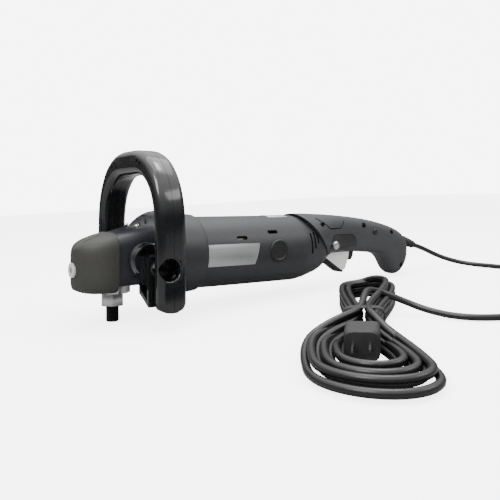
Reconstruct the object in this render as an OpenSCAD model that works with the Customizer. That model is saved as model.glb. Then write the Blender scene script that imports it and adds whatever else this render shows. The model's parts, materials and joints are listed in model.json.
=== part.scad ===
// Rotary polisher: an angle-drive motor with a vertical spindle, a D-handle and a rear grip.
// Tool frame: origin at the centre of the spindle's tip, +X towards the cord, +Z up the spindle.
// stand() then tips that frame, so that the spindle tip and the grip's hook rest on z = 0.

/* [Spindle and gear head] */
// Diameter of the spindle thread
thread_d = 14; // [12:1:16]
// Length of the spindle thread
thread_l = 18; // [16:1:20]
// Hexagon of the spindle across its flats
hex_af = 19; // [17:1:20]
// Radius of the gear head's nose
head_r = 30.4; // [30:0.2:31]
// Thickness of the rubber cover on the nose
cover_t = 2.6; // [2.2:0.2:3]
// Teeth of the crown gear
crown_teeth = 44; // [44:1:44]
// Teeth of the pinion
pinion_teeth = 11; // [11:1:11]
// Pitch radius of the crown gear at its outer edge
crown_pitch_r = 26; // [26:1:26]

/* [Motor] */
// Height of the motor axis above the spindle tip
axis_z = 68; // [68:1:68]
// Radius of the motor barrel
barrel_r = 41; // [40.5:0.5:41.5]
// Radius of the fan section, in front of the barrel
sleeve_r = 43.5; // [43:0.5:44]
// Wall of the motor housing
wall = 3; // [2.5:0.5:3]

/* [D-handle] */
// Width of the D-handle outside its legs
loop_w = 166; // [160:2:168]
// Height of the top of the D-handle
loop_top = 180; // [176:1:182]
// Depth of the D-handle, from its front face to its rear face
loop_t = 31; // [29:1:31]
// Diameter of the key hole through each leg
key_hole_d = 22; // [20:1:22]

/* [Rear grip] */
// Half the width of the grip
grip_half_w = 18.5; // [18:0.5:19]
// Wall of the grip shells
grip_wall = 2.6; // [2.4:0.2:2.8]

/* [Cord] */
// Diameter of the mains cord
cord_d = 6.8; // [6.4:0.2:6.8]
// Height of the hank of cord
hank_h = 25; // [24:1:27]

/* [Hidden] */
tip_angle = 2.94;
c = 0.1;                  // gap between pieces that don't bear on each other
fit = 0.05;               // radial clearance of a running fit
fn_fine = 64;
fn_hull = 32;

nose_x = -10;
head_z0 = 38;
gear_case_x = 49;
cavity_r = 27.5;
pocket_x = -33;
lock_z = 56;
button_r = 8;
bolt = [22.5, 65];        // x and z of the D-handle's bolts
bolt_r = 4;
boss_y = 38;
washer_r = 19;
ear_r = 17;
arm_y = boss_y + 8;       // outer face of the bracket's ear
key_hole = [25.5, 59];    // x and z of the key holes
loop_x0 = 14;
leg_in = 66;
leg_bottom = 17;
barrel_x = 92;
seam = 349;               // x + z along the seam between the barrel and the grip
brush_x = 190.6;
pivot = [290, 70];        // x and z of the trigger's pivot
lever_pivot = [345, 62];
dial = [441.5, 47];
lock_on = [376, 85];
relief_tip = [478, 0, 62];
relief_slope = 16;
relief_l = 34;

// Row frame: the tie of the hank, the way the hank lies, and the cord's route
tie = [140, -228];
hank_turn = 43;
cord_points = [
    [480.2, 0, 38.0], [492, 0, 33.9], [506, -2, 28], [522, -7, 19.5], [538, -17, 11.5], [551, -33, 6],
    [559, -55, 3.6], [560, -82, 3.5], [555, -110, 3.5], [543, -140, 3.5], [525, -168, 3.5],
    [501, -195, 3.5], [472, -219, 3.5], [439, -241, 3.5], [403, -260, 3.5], [366, -275, 3.5],
    [330, -284, 3.5], [294, -284, 3.5], [264, -270, 3.5], [247, -245, 3.7], [240, -217, 6.5],
    [231, -194, 14], [215, -181, 23], [195, -182, 28.6], [176, -195, 28.8]
];

// ---------- helpers ----------

module stand() { translate([0, 0, thread_d / 2 * sin(tip_angle)]) rotate([0, tip_angle, 0]) children(); }
module along_x(x = 0) { translate([x, 0, axis_z]) rotate([0, 90, 0]) children(); }
module both_sides() { children(); mirror([0, 1, 0]) children(); }
module side_plate(y0, y1) { translate([0, y1, 0]) rotate([90, 0, 0]) linear_extrude(y1 - y0) children(); }
module across(x, z, y0, y1, r, fn = fn_fine) {
    translate([x, y1, z]) rotate([90, 0, 0]) cylinder(r = r, h = y1 - y0, $fn = fn);
}
module ring(r_out, r_in, h) {
    rotate_extrude($fn = fn_fine) translate([r_in, 0]) square([r_out - r_in, h]);
}
module x_ring(x, h, r_out, r_in) { along_x(x) ring(r_out, r_in, h); }
module lathe_x(points) {  // points are [x, radius], closed back to the axis by the caller
    along_x() rotate_extrude($fn = fn_fine) polygon([for (p = points) [p[1], p[0]]]);
}
function arc(cx, cy, r, a0, a1, n = 10) =
    [for (i = [0:n]) let (a = a0 + (a1 - a0) * i / n) [cx + r * cos(a), cy + r * sin(a)]];
function unit(v) = v / norm(v);

// A tube swept along points that lie on a smooth route
module tube(points, r, sides = 8) {
    n = len(points);
    tangents = [for (i = [0:n - 1]) unit(points[min(i + 1, n - 1)] - points[max(i - 1, 0)])];
    rings = [for (i = [0:n - 1]) let (
        t = tangents[i],
        s = unit(cross(t, abs(t[2]) > 0.9 ? [1, 0, 0] : [0, 0, 1])),
        u = cross(s, t)
    ) for (k = [0:sides - 1]) let (a = 360 * k / sides) points[i] + r * (cos(a) * s + sin(a) * u)];
    polyhedron(rings, concat(
        [for (i = [0:n - 2]) for (k = [0:sides - 1]) let (
            a = i * sides + k, b = i * sides + (k + 1) % sides
        ) [a, b, b + sides, a + sides]],
        [[for (k = [sides - 1:-1:0]) k], [for (k = [0:sides - 1]) (n - 1) * sides + k]]
    ));
}
// Catmull-Rom curve through the route's points, with steps pieces to each stretch
function smooth_at(p, i, t) = let (
    n = len(p), a = p[max(i - 1, 0)], b = p[i], d = p[i + 1], e = p[min(i + 2, n - 1)]
) 0.5 * (2 * b + (d - a) * t + (2 * a - 5 * b + 4 * d - e) * t * t + (3 * b - a - 3 * d + e) * t * t * t);
function smooth(p, steps) = concat(
    [for (i = [0:len(p) - 2]) for (s = [0:steps - 1]) smooth_at(p, i, s / steps)], [p[len(p) - 1]]);

// ---------- spindle and gears ----------

shaft_r = 7.5;
upper_r = 6;
crown_z = 50;
module spindle() color("dimgray") stand() {
    cylinder(d = thread_d, h = thread_l, $fn = fn_fine);
    translate([0, 0, thread_l]) cylinder(d = hex_af / cos(30), h = 12, $fn = 6);
    translate([0, 0, thread_l + 12]) cylinder(r = shaft_r, h = crown_z - thread_l - 12, $fn = fn_fine);
    translate([0, 0, crown_z]) cylinder(r = upper_r, h = 87.3 - crown_z, $fn = fn_fine);
}

// Bevel pair: both pitch cones meet on the motor axis, above the centre of the crown gear
pinion_pitch_r = crown_pitch_r * pinion_teeth / crown_teeth;
face_in = 19;             // inner end of the teeth, from the common apex
// A tooth that tapers towards the apex at the origin: half widths at its root and its tip
module bevel_tooth(r_out, low, high, half_low, half_high) {
    k = face_in / r_out;
    p = [for (s = [1, k]) each [
        [s * r_out, -s * half_low, s * low], [s * r_out, s * half_low, s * low],
        [s * r_out, s * half_high, s * high], [s * r_out, -s * half_high, s * high]]];
    polyhedron(p, [[3, 2, 1, 0], [4, 5, 6, 7], [1, 5, 4, 0], [2, 6, 5, 1], [3, 7, 6, 2], [0, 4, 7, 3]]);
}
crown_r = crown_pitch_r + 0.6;
crown_root = pinion_pitch_r + 1.9;  // depth of the blank's face below the apex, at its rim
module crown_gear() color("silver") stand() difference() {
    union() {
        rotate_extrude($fn = fn_fine) polygon([
            [upper_r, crown_z], [crown_r, crown_z], [crown_r, axis_z - crown_root],
            [face_in - 1, axis_z - crown_root * (face_in - 1) / crown_r], [face_in - 1, 57], [9, 57],
            [9, 60], [upper_r, 60]]);
        translate([0, 0, axis_z]) for (i = [0:crown_teeth - 1]) rotate([0, 0, 360 * (i + 0.5) / crown_teeth])
            bevel_tooth(crown_r - 0.1, -crown_root - 0.4, -pinion_pitch_r + 0.95, 1.05, 0.36);
    }
    for (a = [0:45:315]) rotate([0, 0, a]) translate([-30, 0, lock_z]) rotate([0, 90, 0])
        cylinder(r = 3.3, h = 12, $fn = fn_fine);
}
module gear_retainer() color("silver") stand() translate([0, 0, 60]) ring(8.6, upper_r, 1.6);
module spindle_lower_bearing() color("silver") stand() translate([0, 0, 35]) ring(16, shaft_r + fit, 9);
module spindle_upper_bearing() color("silver") stand() translate([0, 0, 79.8]) ring(14, upper_r + fit, 8);
module bearing_plate() color("silver") stand() difference() {
    translate([0, 0, 30.5]) cylinder(r = 18.5, h = 7.5, $fn = fn_fine);
    translate([0, 0, 30]) cylinder(r = shaft_r + 0.6, h = 9, $fn = fn_fine);
    translate([0, 0, 35]) cylinder(r = 16, h = 9, $fn = fn_fine);
    for (a = [45:90:315]) rotate([0, 0, a]) translate([16.5, -2, 30]) cube([4, 4, 2.5]);
}

// ---------- gear head ----------

module head_form(grow) hull() {
    translate([nose_x, 0, head_z0 - grow]) cylinder(r = head_r + grow, h = 44 + 2 * grow, $fn = 48);
    along_x(gear_case_x - 1) cylinder(r = 38 + grow, h = 1, $fn = 48);
}
module head_cavity() {
    translate([0, 0, head_z0 - 1]) cylinder(r = 16, h = 7, $fn = fn_fine);
    translate([0, 0, head_z0]) cylinder(r = 13, h = 12, $fn = fn_fine);
    translate([0, 0, 47]) cylinder(r = cavity_r, h = 17.8, $fn = fn_fine);
    translate([0, 0, 60]) cylinder(r = 14, h = 27.8, $fn = fn_fine);
    along_x(8) cylinder(r = 13, h = 40, $fn = fn_fine);
    along_x(38.6) cylinder(r = 16, h = 20, $fn = fn_fine);
    translate([pocket_x, 0, lock_z]) rotate([0, -90, 0]) cylinder(r = button_r + 0.3, h = 12, $fn = fn_fine);
    translate([pocket_x - 1, 0, lock_z]) rotate([0, 90, 0]) cylinder(r = 3 + fit, h = 8, $fn = fn_fine);
}
module gear_housing() color("#2a2c30") stand() difference() {
    union() {
        difference() {
            head_form(0);
            translate([gear_case_x, -60, 0]) cube([20, 120, 140]);
            translate([-60, -60, 0]) cube([80, 120, head_z0]);
        }
        across(bolt[0], bolt[1], -boss_y, boss_y, washer_r, fn_fine);
    }
    head_cavity();
    both_sides() across(bolt[0], bolt[1], 24, boss_y + 1, bolt_r);
    hood_screw_holes(1.5, 12);
}
module head_cover() color("#4c4c45") stand() difference() {
    union() {
        difference() {
            head_form(cover_t);
            head_form(0.2);
        }
        translate([nose_x, 0, 31.5]) cylinder(r = head_r + cover_t, h = 6.2, $fn = fn_fine);
    }
    translate([0, 0, 30]) cylinder(r = 18.8, h = 12, $fn = fn_fine);
    translate([-6, -60, 20]) cube([80, 120, 120]);
    translate([-60, 0, lock_z]) rotate([0, 90, 0]) cylinder(r = button_r + 0.3, h = 30, $fn = fn_fine);
}

hood_screw_at = [[22, -9], [22, 9]];
module hood_screw_holes(r, h) for (p = hood_screw_at)
    translate([p[0], p[1], 108 - h - 7]) cylinder(r = r, h = h + 10, $fn = fn_fine);
module exhaust_hood() color("#55565a") stand() difference() {
    hull() {
        along_x(gear_case_x - 4) cylinder(r = 46, h = 3.9, $fn = fn_hull);
        translate([16, -15, 90]) cube([3, 30, 9]);
    }
    head_form(0.1);
    translate([0, -60, 0]) cube([60, 120, 88]);
    for (i = [0:2]) translate([30 + 5 * i, -22, 97]) rotate([0, -40, 0]) cube([2, 44, 16]);
    hood_screw_holes(1.6, 12);
}
module hood_screws() color("silver") stand() for (p = hood_screw_at) {
    translate([p[0], p[1], 90.5]) cylinder(r = 1.5, h = 13, $fn = fn_fine);
    translate([p[0], p[1], 103.5]) cylinder(r = 2.8, h = 2, $fn = fn_fine);
}

// ---------- spindle lock ----------

module lock_button() color("#b9b9b4") stand() translate([-45.8, 0, lock_z]) rotate([0, 90, 0]) difference() {
    cylinder(r = button_r, h = 5.6, $fn = fn_fine);
    translate([0, 0, 1.6]) cylinder(r = 3, h = 5, $fn = fn_fine);
}
module lock_pin() color("silver") stand() translate([-44.2, 0, lock_z]) rotate([0, 90, 0])
    cylinder(r = 3, h = 15.6, $fn = fn_fine);
module lock_spring() color("silver") stand() tube([for (i = [0:60]) let (a = 24 * i)
    [-39.8 + 6.4 * i / 60, 5 * cos(a), lock_z + 5 * sin(a)]], 0.45, 6);

// ---------- D-handle ----------

half_w = loop_w / 2;
function loop_outer() = let (r = 62, cz = loop_top - r, cy = half_w - 1 - r) concat(
    [[leg_in + 2, leg_bottom], [half_w - 7, leg_bottom], [half_w, leg_bottom + 7], [half_w, 70]],
    arc(cy, cz, r, 0, 90, 16));
function loop_inner() = concat([[leg_in, leg_bottom + 2]], arc(20, 108, 46, 0, 90, 12));
function backwards(points) = [for (i = [len(points) - 1:-1:0]) points[i]];
function left_half(points) = [for (p = points) [-p[0], p[1]]];
module loop_2d() polygon(concat(
    loop_outer(), backwards(left_half(loop_outer())), left_half(loop_inner()), backwards(loop_inner())));
module loop_slab(x0, x1) translate([x0, 0, 0]) rotate([90, 0, 90]) linear_extrude(x1 - x0) children();
module loop_shell(x0, x1, open0, open1) difference() {
    loop_slab(x0, x1) loop_2d();
    loop_slab(open0, open1) offset(delta = -wall) loop_2d();
    across(key_hole[0], key_hole[1], -100, 100, key_hole_d / 2);
    loop_screw_holes(1.6);
}
// A tube round each key hole closes the leg's hollow towards it
module key_tubes(x0, x1) intersection() {
    translate([x0, -100, 0]) cube([x1 - x0, 200, 200]);
    both_sides() difference() {
        across(key_hole[0], key_hole[1], leg_in + 1, half_w - 1, key_hole_d / 2 + 2);
        across(key_hole[0], key_hole[1], leg_in - 1, half_w + 1, key_hole_d / 2);
    }
}
loop_screw_at = [[30, 160.5], [30, 173], [74, 100], [74, 35]];
module at_loop_screws() both_sides() for (p = loop_screw_at) translate([loop_x0, p[0], p[1]])
    rotate([0, 90, 0]) children();
module loop_screw_holes(r) at_loop_screws() translate([0, 0, -1]) cylinder(r = r, h = 24, $fn = fn_fine);
module loop_bosses(x0, x1) difference() {
    at_loop_screws() translate([0, 0, x0 - loop_x0]) cylinder(r = 3.4, h = x1 - x0, $fn = fn_fine);
    loop_screw_holes(1.6);
}
loop_mid = loop_x0 + loop_t / 2;
loop_end = loop_x0 + loop_t;
module d_handle_front() color("#1c1d1f") stand() {
    loop_shell(loop_x0, loop_mid, loop_x0 + wall, loop_mid + 1);
    key_tubes(loop_x0 + 1, loop_mid);
    loop_bosses(loop_x0 + 1, loop_mid);
}
module d_handle_rear() color("#1c1d1f") stand() {
    loop_shell(loop_mid, loop_end, loop_mid - 1, loop_end - wall);
    key_tubes(loop_mid, loop_end - 1);
    loop_bosses(loop_mid, loop_end - 1);
}
module d_handle_brackets() color("#1c1d1f") stand() both_sides() difference() {
    union() {
        across(bolt[0], bolt[1], boss_y + 2.4, arm_y, ear_r);
        translate([10, 0, 0]) rotate([90, 0, 90]) linear_extrude(27)
            polygon([[arm_y - 1.7, 34], [leg_in, 22], [leg_in, 71], [arm_y - 1.7, 71]]);
    }
    across(bolt[0], bolt[1], boss_y, arm_y, bolt_r + fit);
    across(bolt[0], bolt[1], arm_y - 0.6, arm_y + 12, 9.5);
    across(key_hole[0], key_hole[1], arm_y + 4, leg_in + 2, key_hole_d / 2);
    translate([8, 0, 0]) rotate([90, 0, 90]) linear_extrude(20)
        polygon([[arm_y + 3, 37], [leg_in - 3, 28], [leg_in - 3, 42], [arm_y + 3, 44]]);
}
module d_handle_screws() color("black") stand() at_loop_screws() {
    translate([0, 0, 1.2]) cylinder(r = 1.6, h = 20, $fn = fn_fine);
    translate([0, 0, -0.6]) cylinder(r = 1.6, h = 1.8, $fn = fn_fine);
}
module d_handle_bolts() color("silver") stand() both_sides() difference() {
    union() {
        across(bolt[0], bolt[1], 25, boss_y + 9, bolt_r);
        across(bolt[0], bolt[1], arm_y - 0.4, arm_y + 7, 6.5);
    }
    translate([bolt[0], arm_y + 8, bolt[1]]) rotate([90, 0, 0]) cylinder(r = 3.4, h = 5, $fn = 6);
}
module d_handle_washers() color("silver") stand() both_sides() difference() {
    across(bolt[0], bolt[1], boss_y, boss_y + 2, washer_r);
    across(bolt[0], bolt[1], boss_y - 1, boss_y + 3, bolt_r);
}

// ---------- armature and motor ----------

nose_r = 3;
module armature_shaft() color("silver") stand() {
    along_x(19) cylinder(r = nose_r, h = 18.4, $fn = fn_fine);
    along_x(37.4) cylinder(r = 6, h = 167.6, $fn = fn_fine);
    along_x(205) cylinder(r = 4, h = 19, $fn = fn_fine);
}
// The pinion's teeth are the same cone teeth, laid round the motor axis
module pinion_gear() color("silver") stand() difference() {
    union() {
        lathe_x([[face_in + 0.2, 0], [face_in + 0.2, (pinion_pitch_r - 1.35) * face_in / crown_pitch_r],
            [crown_pitch_r, pinion_pitch_r - 1.35], [34, pinion_pitch_r + 1], [34, 0]]);
        translate([0, 0, axis_z]) for (i = [0:pinion_teeth - 1]) rotate([180 + 360 * i / pinion_teeth, 0, 0])
            bevel_tooth(crown_pitch_r - 0.1, pinion_pitch_r - 1.5, pinion_pitch_r + 0.85, 1.0, 0.34);
    }
    along_x(10) cylinder(r = nose_r, h = 40, $fn = fn_fine);
}
module front_motor_bearing() color("silver") stand() x_ring(38.6, 10, 16, 6 + fit);
module rear_motor_bearing() color("silver") stand() x_ring(215, 7, 11, 4 + fit);
module cooling_fan() color("black") stand() {
    x_ring(56, 14, 11, 6);
    difference() {
        x_ring(68, 2, 36, 10.9);
        x_ring(67, 5, 11, 0.1);
    }
    for (i = [0:11]) translate([0, 0, axis_z]) rotate([30 * i, 0, 0]) translate([57, -0.9, 10.8])
        cube([11.2, 1.8, 25]);
}
module fan_baffle() color("dimgray") stand() x_ring(74, 3, sleeve_r - wall - 0.5, 27);
module armature_core() color("gray") stand() difference() {
    x_ring(98, 50, 24, 6);
    for (i = [0:11]) translate([97, 0, axis_z]) rotate([30 * i, 0, 0]) translate([0, -1.2, 16])
        cube([52, 2.4, 10]);
}
module armature_windings() color("#a5552a") stand() {
    x_ring(88, 10, 21, 6);
    x_ring(148, 12, 21, 6);
    for (i = [0:11]) translate([98, 0, axis_z]) rotate([30 * i, 0, 0]) translate([0, -1.2, 16.3])
        cube([50, 2.4, 4.5]);
}
module commutator() color("#b87333") stand() difference() {
    x_ring(180, 22, 13, 6);
    for (i = [0:23]) translate([179.9, 0, axis_z]) rotate([15 * i, 0, 0]) translate([0, -0.3, 12])
        cube([22.2, 0.6, 2]);
}
module field_core() color("gray") stand() difference() {
    x_ring(95, 56, 36.5, 24.6);
    both_sides() translate([94, 27, axis_z - 9]) cube([58, 12, 18]);
}
module field_coils() color("#a5552a") stand() {
    x_ring(82, 12.9, 34, 25);
    x_ring(151.1, 13, 34, 25);
    both_sides() translate([95, 27.2, axis_z - 7]) cube([56, 6, 14]);
}

slot_at = [[140, 24], [185.5, 32]];  // x and angle above the side of each vent slot
module vent_slots() both_sides() for (s = slot_at) translate([s[0], 0, axis_z]) rotate([s[1], 0, 0])
    for (e = [-1, 1]) translate([5 * e, 0, 0]) {
        translate([0, 50, 0]) rotate([90, 0, 0]) cylinder(r = 2.5, h = 20, $fn = fn_fine);
        translate([e > 0 ? -10 : 0, 30, -2.5]) cube([10, 20, 5]);
    }
module rear_slits() both_sides() for (k = [0:2]) translate([238 + 7 * k, 0, axis_z]) rotate([10, 0, 0])
    translate([0, 25, -14 + 4 * k]) cube([3, 30, 28 - 8 * k]);
module motor_housing() color("#4a4c51") stand() difference() {
    union() {
        lathe_x([[49.1, 0], [49.1, 46], [60, 45.5], [88, sleeve_r], [barrel_x, sleeve_r],
            [barrel_x, barrel_r], [236, barrel_r], [256, 36.5], [272, 33], [282, 27], [290, 16], [292, 0]]);
        both_sides() across(brush_x, axis_z, 34, barrel_r + 2, 15);
    }
    lathe_x([[49, 0], [49, 43], [60, 42.5], [88, sleeve_r - wall], [95, 36.6], [151, 36.6], [152, 37.5],
        [212, 37.5], [212, 0]]);
    lathe_x([[211, 0], [211, 11], [222.1, 11], [222.1, 6.5], [226, 6.5], [226, 36], [236, 37.5],
        [256, 33], [270, 29], [279, 23], [285, 12], [286, 0]]);
    for (i = [0:5]) translate([0, 0, axis_z]) rotate([60 * i, 0, 0]) translate([205, -5, 17])
        cube([22, 10, 15]);
    both_sides() {
        across(brush_x, axis_z, barrel_r - 1, barrel_r + 3, 13.4);
        across(brush_x, axis_z, 33, barrel_r + 3, 9.2);
    }
    vent_slots();
    rear_slits();
    translate([278, -8.9, 40]) cube([20, 17.8, 40]);
    translate([seam - axis_z - 0.15, -60, axis_z]) rotate([0, -45, 0]) translate([0, 0, -80])
        cube([90, 120, 160]);
    translate([0, 0, axis_z + barrel_r - 0.6]) translate([195, -12, 0]) cube([30, 24, 3]);
}

// ---------- brush gear ----------

module brush_holders() color("#c9a13b") stand() both_sides() difference() {
    translate([brush_x - 6, 14.5, axis_z - 5]) cube([12, 21, 10]);
    translate([brush_x - 4.1, 14, axis_z - 3.1]) cube([8.2, 22, 6.2]);
}
module carbon_brushes() color("#222222") stand() both_sides() difference() {
    translate([brush_x - 4, 12, axis_z - 3]) cube([8, 13, 6]);
    along_x(170) cylinder(r = 13.05, h = 40, $fn = fn_fine);
}
module brush_springs() color("silver") stand() both_sides() tube([for (i = [0:50]) let (a = 36 * i)
    [brush_x + 2.2 * cos(a), 25.6 + 9.6 * i / 50, axis_z + 2.2 * sin(a)]], 0.3, 6);
module brush_caps() color("#3b3d41") stand() both_sides() difference() {
    union() {
        across(brush_x, axis_z, 36, barrel_r, 9);
        across(brush_x, axis_z, barrel_r - 1, barrel_r + 1, 11.5);
    }
    translate([brush_x - 7, barrel_r, axis_z - 1]) cube([14, 2, 2]);
}
module nameplate() color("#b7b9bb") stand() intersection() {
    x_ring(90, 80, barrel_r + 0.6, barrel_r);
    side_plate(-50, -20) polygon([[94, 54], [94, 78.5], [163, 78.5], [157, 54]]);
}
module rating_plate() color("#9a9c9f") stand() translate([195.3, -11.7, axis_z + barrel_r - 0.6])
    cube([29.4, 23.4, 1.6]);

// ---------- rear grip ----------

grip_side = [[238.5, 111], [252, 111], [280, 110.3], [305, 109], [340, 106], [371, 102], [407, 94],
    [430, 87], [445, 80], [451, 71], [452, 60], [449, 45], [443, 33], [436, 25], [428, 22],
    [419, 24], [411, 31], [404, 41], [396, 49], [382, 54], [366, 56], [345, 58], [291, 58]];
grip_plan = [[230, 44], [262, 40], [285, 31], [310, 23], [335, 19.5], [370, grip_half_w],
    [425, grip_half_w], [442, 17], [450, 13], [453, 8]];
module grip_form(in) intersection() {
    side_plate(-60, 60) offset(delta = -in) polygon(grip_side);
    translate([0, 0, 10]) linear_extrude(120) offset(delta = -in)
        polygon(concat(grip_plan, [for (i = [len(grip_plan) - 1:-1:0]) [grip_plan[i][0], -grip_plan[i][1]]]));
    lathe_x([[230, 0], [230, 43 - in], [300, 43 - in], [330, 46], [380, 60], [460, 60], [460, 0]]);
}
screw_at = [[268, 98], [355, 94], [412, 84], [432, 36]];
bezel_arch = concat([[283, 58.5]], arc(295, 71, 12, 180, 90, 6), arc(331, 71, 12, 90, 0, 6), [[343, 58.5]]);
module grip_shell() difference() {
    union() {
        difference() {
            grip_form(0);
            grip_form(grip_wall);
        }
        intersection() {
            grip_form(0.5);
            union() {
                for (p = screw_at) across(p[0], p[1], 1, 60, 4.5);
                across(pivot[0], pivot[1], 9, 60, 7);
            }
        }
    }
    translate([-100, -100, 0]) cube([700, 100, 200]);
    for (p = screw_at) across(p[0], p[1], -1, 15, 2);
    across(pivot[0], pivot[1], -1, 60, 3);
    translate([281, -1, 40]) cube([71, 9.5, 30]);
    across(dial[0], dial[1], -1, 4.4, 11.4);
    across(dial[0], dial[1], -1, 9, 2 + fit);
    bezel_pocket();
    translate(relief_tip) rotate([0, 90 + relief_slope, 0]) translate([0, 0, -60])
        cylinder(r = 6.5, h = 60, $fn = fn_fine);
}
bezel_y = 17;
module bezel_pocket() side_plate(bezel_y, 60) polygon(bezel_arch);
module handle_shell_left() color("#6f7175") stand() grip_shell();
module handle_shell_right() color("#6f7175") stand() difference() {
    mirror([0, 1, 0]) grip_shell();
    across(lock_on[0], lock_on[1], -30, -10, 4.4 + fit);
    for (p = screw_at) across(p[0], p[1], -60, -12, 3.4);
}
module handle_screws() color("silver") stand() for (p = screw_at) {
    across(p[0], p[1], -12, 14, 2);
    across(p[0], p[1], -14, -12, 3.4);
}
module trigger_bezel() color("#141415") stand() both_sides() difference() {
    intersection() {
        grip_form(0.2);
        side_plate(bezel_y + c, 60) polygon(bezel_arch);
    }
    across(pivot[0], pivot[1], 10, 60, 3);
}
module trigger_pivot() color("silver") stand() {
    across(pivot[0], pivot[1], -31.7, 31.7, 3);
    both_sides() across(pivot[0], pivot[1], 31.7, 33.7, 6);
}

// ---------- trigger, switch and controls ----------

trigger_outline = [[284.5, 66], [284.5, 58], [320, 35.5], [325, 33.5], [330, 37], [335, 49], [337.5, 60],
    [336, 66], [300, 75], [290, 76]];
module trigger() color("#d9dad7") stand() difference() {
    side_plate(-7.9, 7.9) polygon(trigger_outline);
    across(pivot[0], pivot[1], -10, 10, 3 + fit);
}
module trigger_pad() color("#2a2a2c") stand() side_plate(-7.6, 7.6)
    polygon([[282.2, 57.4], [284.5, 58], [320, 35.5], [325, 33.5], [323.5, 31.6], [318.6, 33.6]]);
module lock_lever() color("#27282a") stand() difference() {
    side_plate(-4, 4) polygon([[341, 58], [341, 50], [338.6, 46.5], [344, 47], [347.5, 52], [349, 62],
        [345, 66], [341, 62]]);
    across(lever_pivot[0], lever_pivot[1], -5, 5, 1.6 + fit);
}
module lock_on_button() color("#17181a") stand() across(lock_on[0], lock_on[1], -20.4, -12, 4.4);
module switch_module() color("#303236") stand() {
    translate([350, -11, 64]) cube([20, 22, 24]);
    across(lever_pivot[0], lever_pivot[1], -8.4, 8.4, 1.6);
    both_sides() translate([343, 4.2, 60]) cube([7, 4.2, 9]);
}
module speed_dial() color("#1a1b1c") stand() {
    across(dial[0], dial[1], -4, 4, 10.8);
    across(dial[0], dial[1], -8, 8, 2);
}
module speed_controller() color("#2b5a3a") stand() translate([384, -12, 64]) cube([36, 24, 15]);
module capacitor() color("#c8b560") stand() translate([296, 0, 93]) rotate([0, 90, 0])
    cylinder(r = 8, h = 34, $fn = fn_fine);
module cord_clamp() color("#303236") stand() translate([424, -9, 63]) cube([9, 18, 18]);

// ---------- cord ----------

module strain_relief() color("#1c1c1d") stand() translate(relief_tip) rotate([0, 90 + relief_slope, 0]) {
    translate([0, 0, -relief_l]) cylinder(r1 = 6.4, r2 = 4.6, h = relief_l, $fn = fn_fine);
    for (i = [0:4]) translate([0, 0, -26 + 5 * i]) cylinder(r = 7.4 - 0.4 * i, h = 2.4, $fn = fn_fine);
}
module cord_lead() color("#161617") tube(smooth(cord_points, 3), cord_d / 2, 8);

// The hank is a bow tied at its waist: a wide skewed lobe to the front and a narrow one to the back
hank_front = [[0, 15], [-28, 34], [-56, 50], [-84, 52], [-112, 46], [-138, 32], [-158, 10], [-167, -12],
    [-166, -30], [-154, -41], [-132, -46], [-90, -41], [-30, -24], [0, -15]];
hank_back = concat(arc(165, 0, 30, 0, 80, 6), [[120, 30], [60, 24]]);
hank_hole = [[-24, 8], [-50, 24], [-82, 26], [-104, 16], [-112, 0], [-104, -16], [-82, -20], [-24, -8]];
module in_hank() translate([tie[0], tie[1], 0]) rotate([0, 0, hank_turn]) children();
function mirrored(points) = [for (i = [len(points) - 1:-1:0]) [points[i][0], -points[i][1]]];
module cord_hank() color("#161617") in_hank() linear_extrude(hank_h) difference() {
    polygon(concat(hank_back, hank_front, mirrored(hank_back)));
    polygon(hank_hole);
}
module cord_tie() color("#161617") in_hank() difference() {
    translate([-5, -19, 0]) cube([10, 38, hank_h + 3]);
    translate([-6, -17.5, -1]) cube([12, 35, hank_h + 1.2]);
}
plug_u = -46;
module plug_body() color("#161617") in_hank() translate([plug_u, 0, 12.5]) rotate([0, -90, 0]) {
    cylinder(r = 12, h = 8, $fn = fn_fine);
    translate([-12, -14, 8]) cube([24, 28, 24]);
    translate([0, 0, -18]) cylinder(r1 = 4.6, r2 = 8, h = 18, $fn = fn_fine);
}
module plug_blades() color("silver") in_hank() for (v = [-6.35, 6.35])
    translate([plug_u - 50, v - 0.75, 12.5 - 3.15]) cube([18, 1.5, 6.3]);

spindle();
crown_gear();
gear_retainer();
spindle_lower_bearing();
spindle_upper_bearing();
bearing_plate();
gear_housing();
head_cover();
exhaust_hood();
hood_screws();
lock_button();
lock_pin();
lock_spring();
d_handle_front();
d_handle_rear();
d_handle_brackets();
d_handle_screws();
d_handle_bolts();
d_handle_washers();
armature_shaft();
pinion_gear();
front_motor_bearing();
rear_motor_bearing();
cooling_fan();
fan_baffle();
armature_core();
armature_windings();
commutator();
field_core();
field_coils();
motor_housing();
brush_holders();
carbon_brushes();
brush_springs();
brush_caps();
nameplate();
rating_plate();
handle_shell_left();
handle_shell_right();
handle_screws();
trigger_bezel();
trigger();
trigger_pad();
trigger_pivot();
lock_lever();
lock_on_button();
switch_module();
speed_dial();
speed_controller();
capacitor();
cord_clamp();
strain_relief();
cord_lead();
cord_hank();
cord_tie();
plug_body();
plug_blades();
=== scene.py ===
# %% [markdown] # A rotary polisher A car polisher is a long motor with a right-angle gear head. The head
# ends in a threaded spindle, a D-handle straddles the head, and a trigger grip closes the tail. The cord
# lies beside it in a tied hank.

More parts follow.
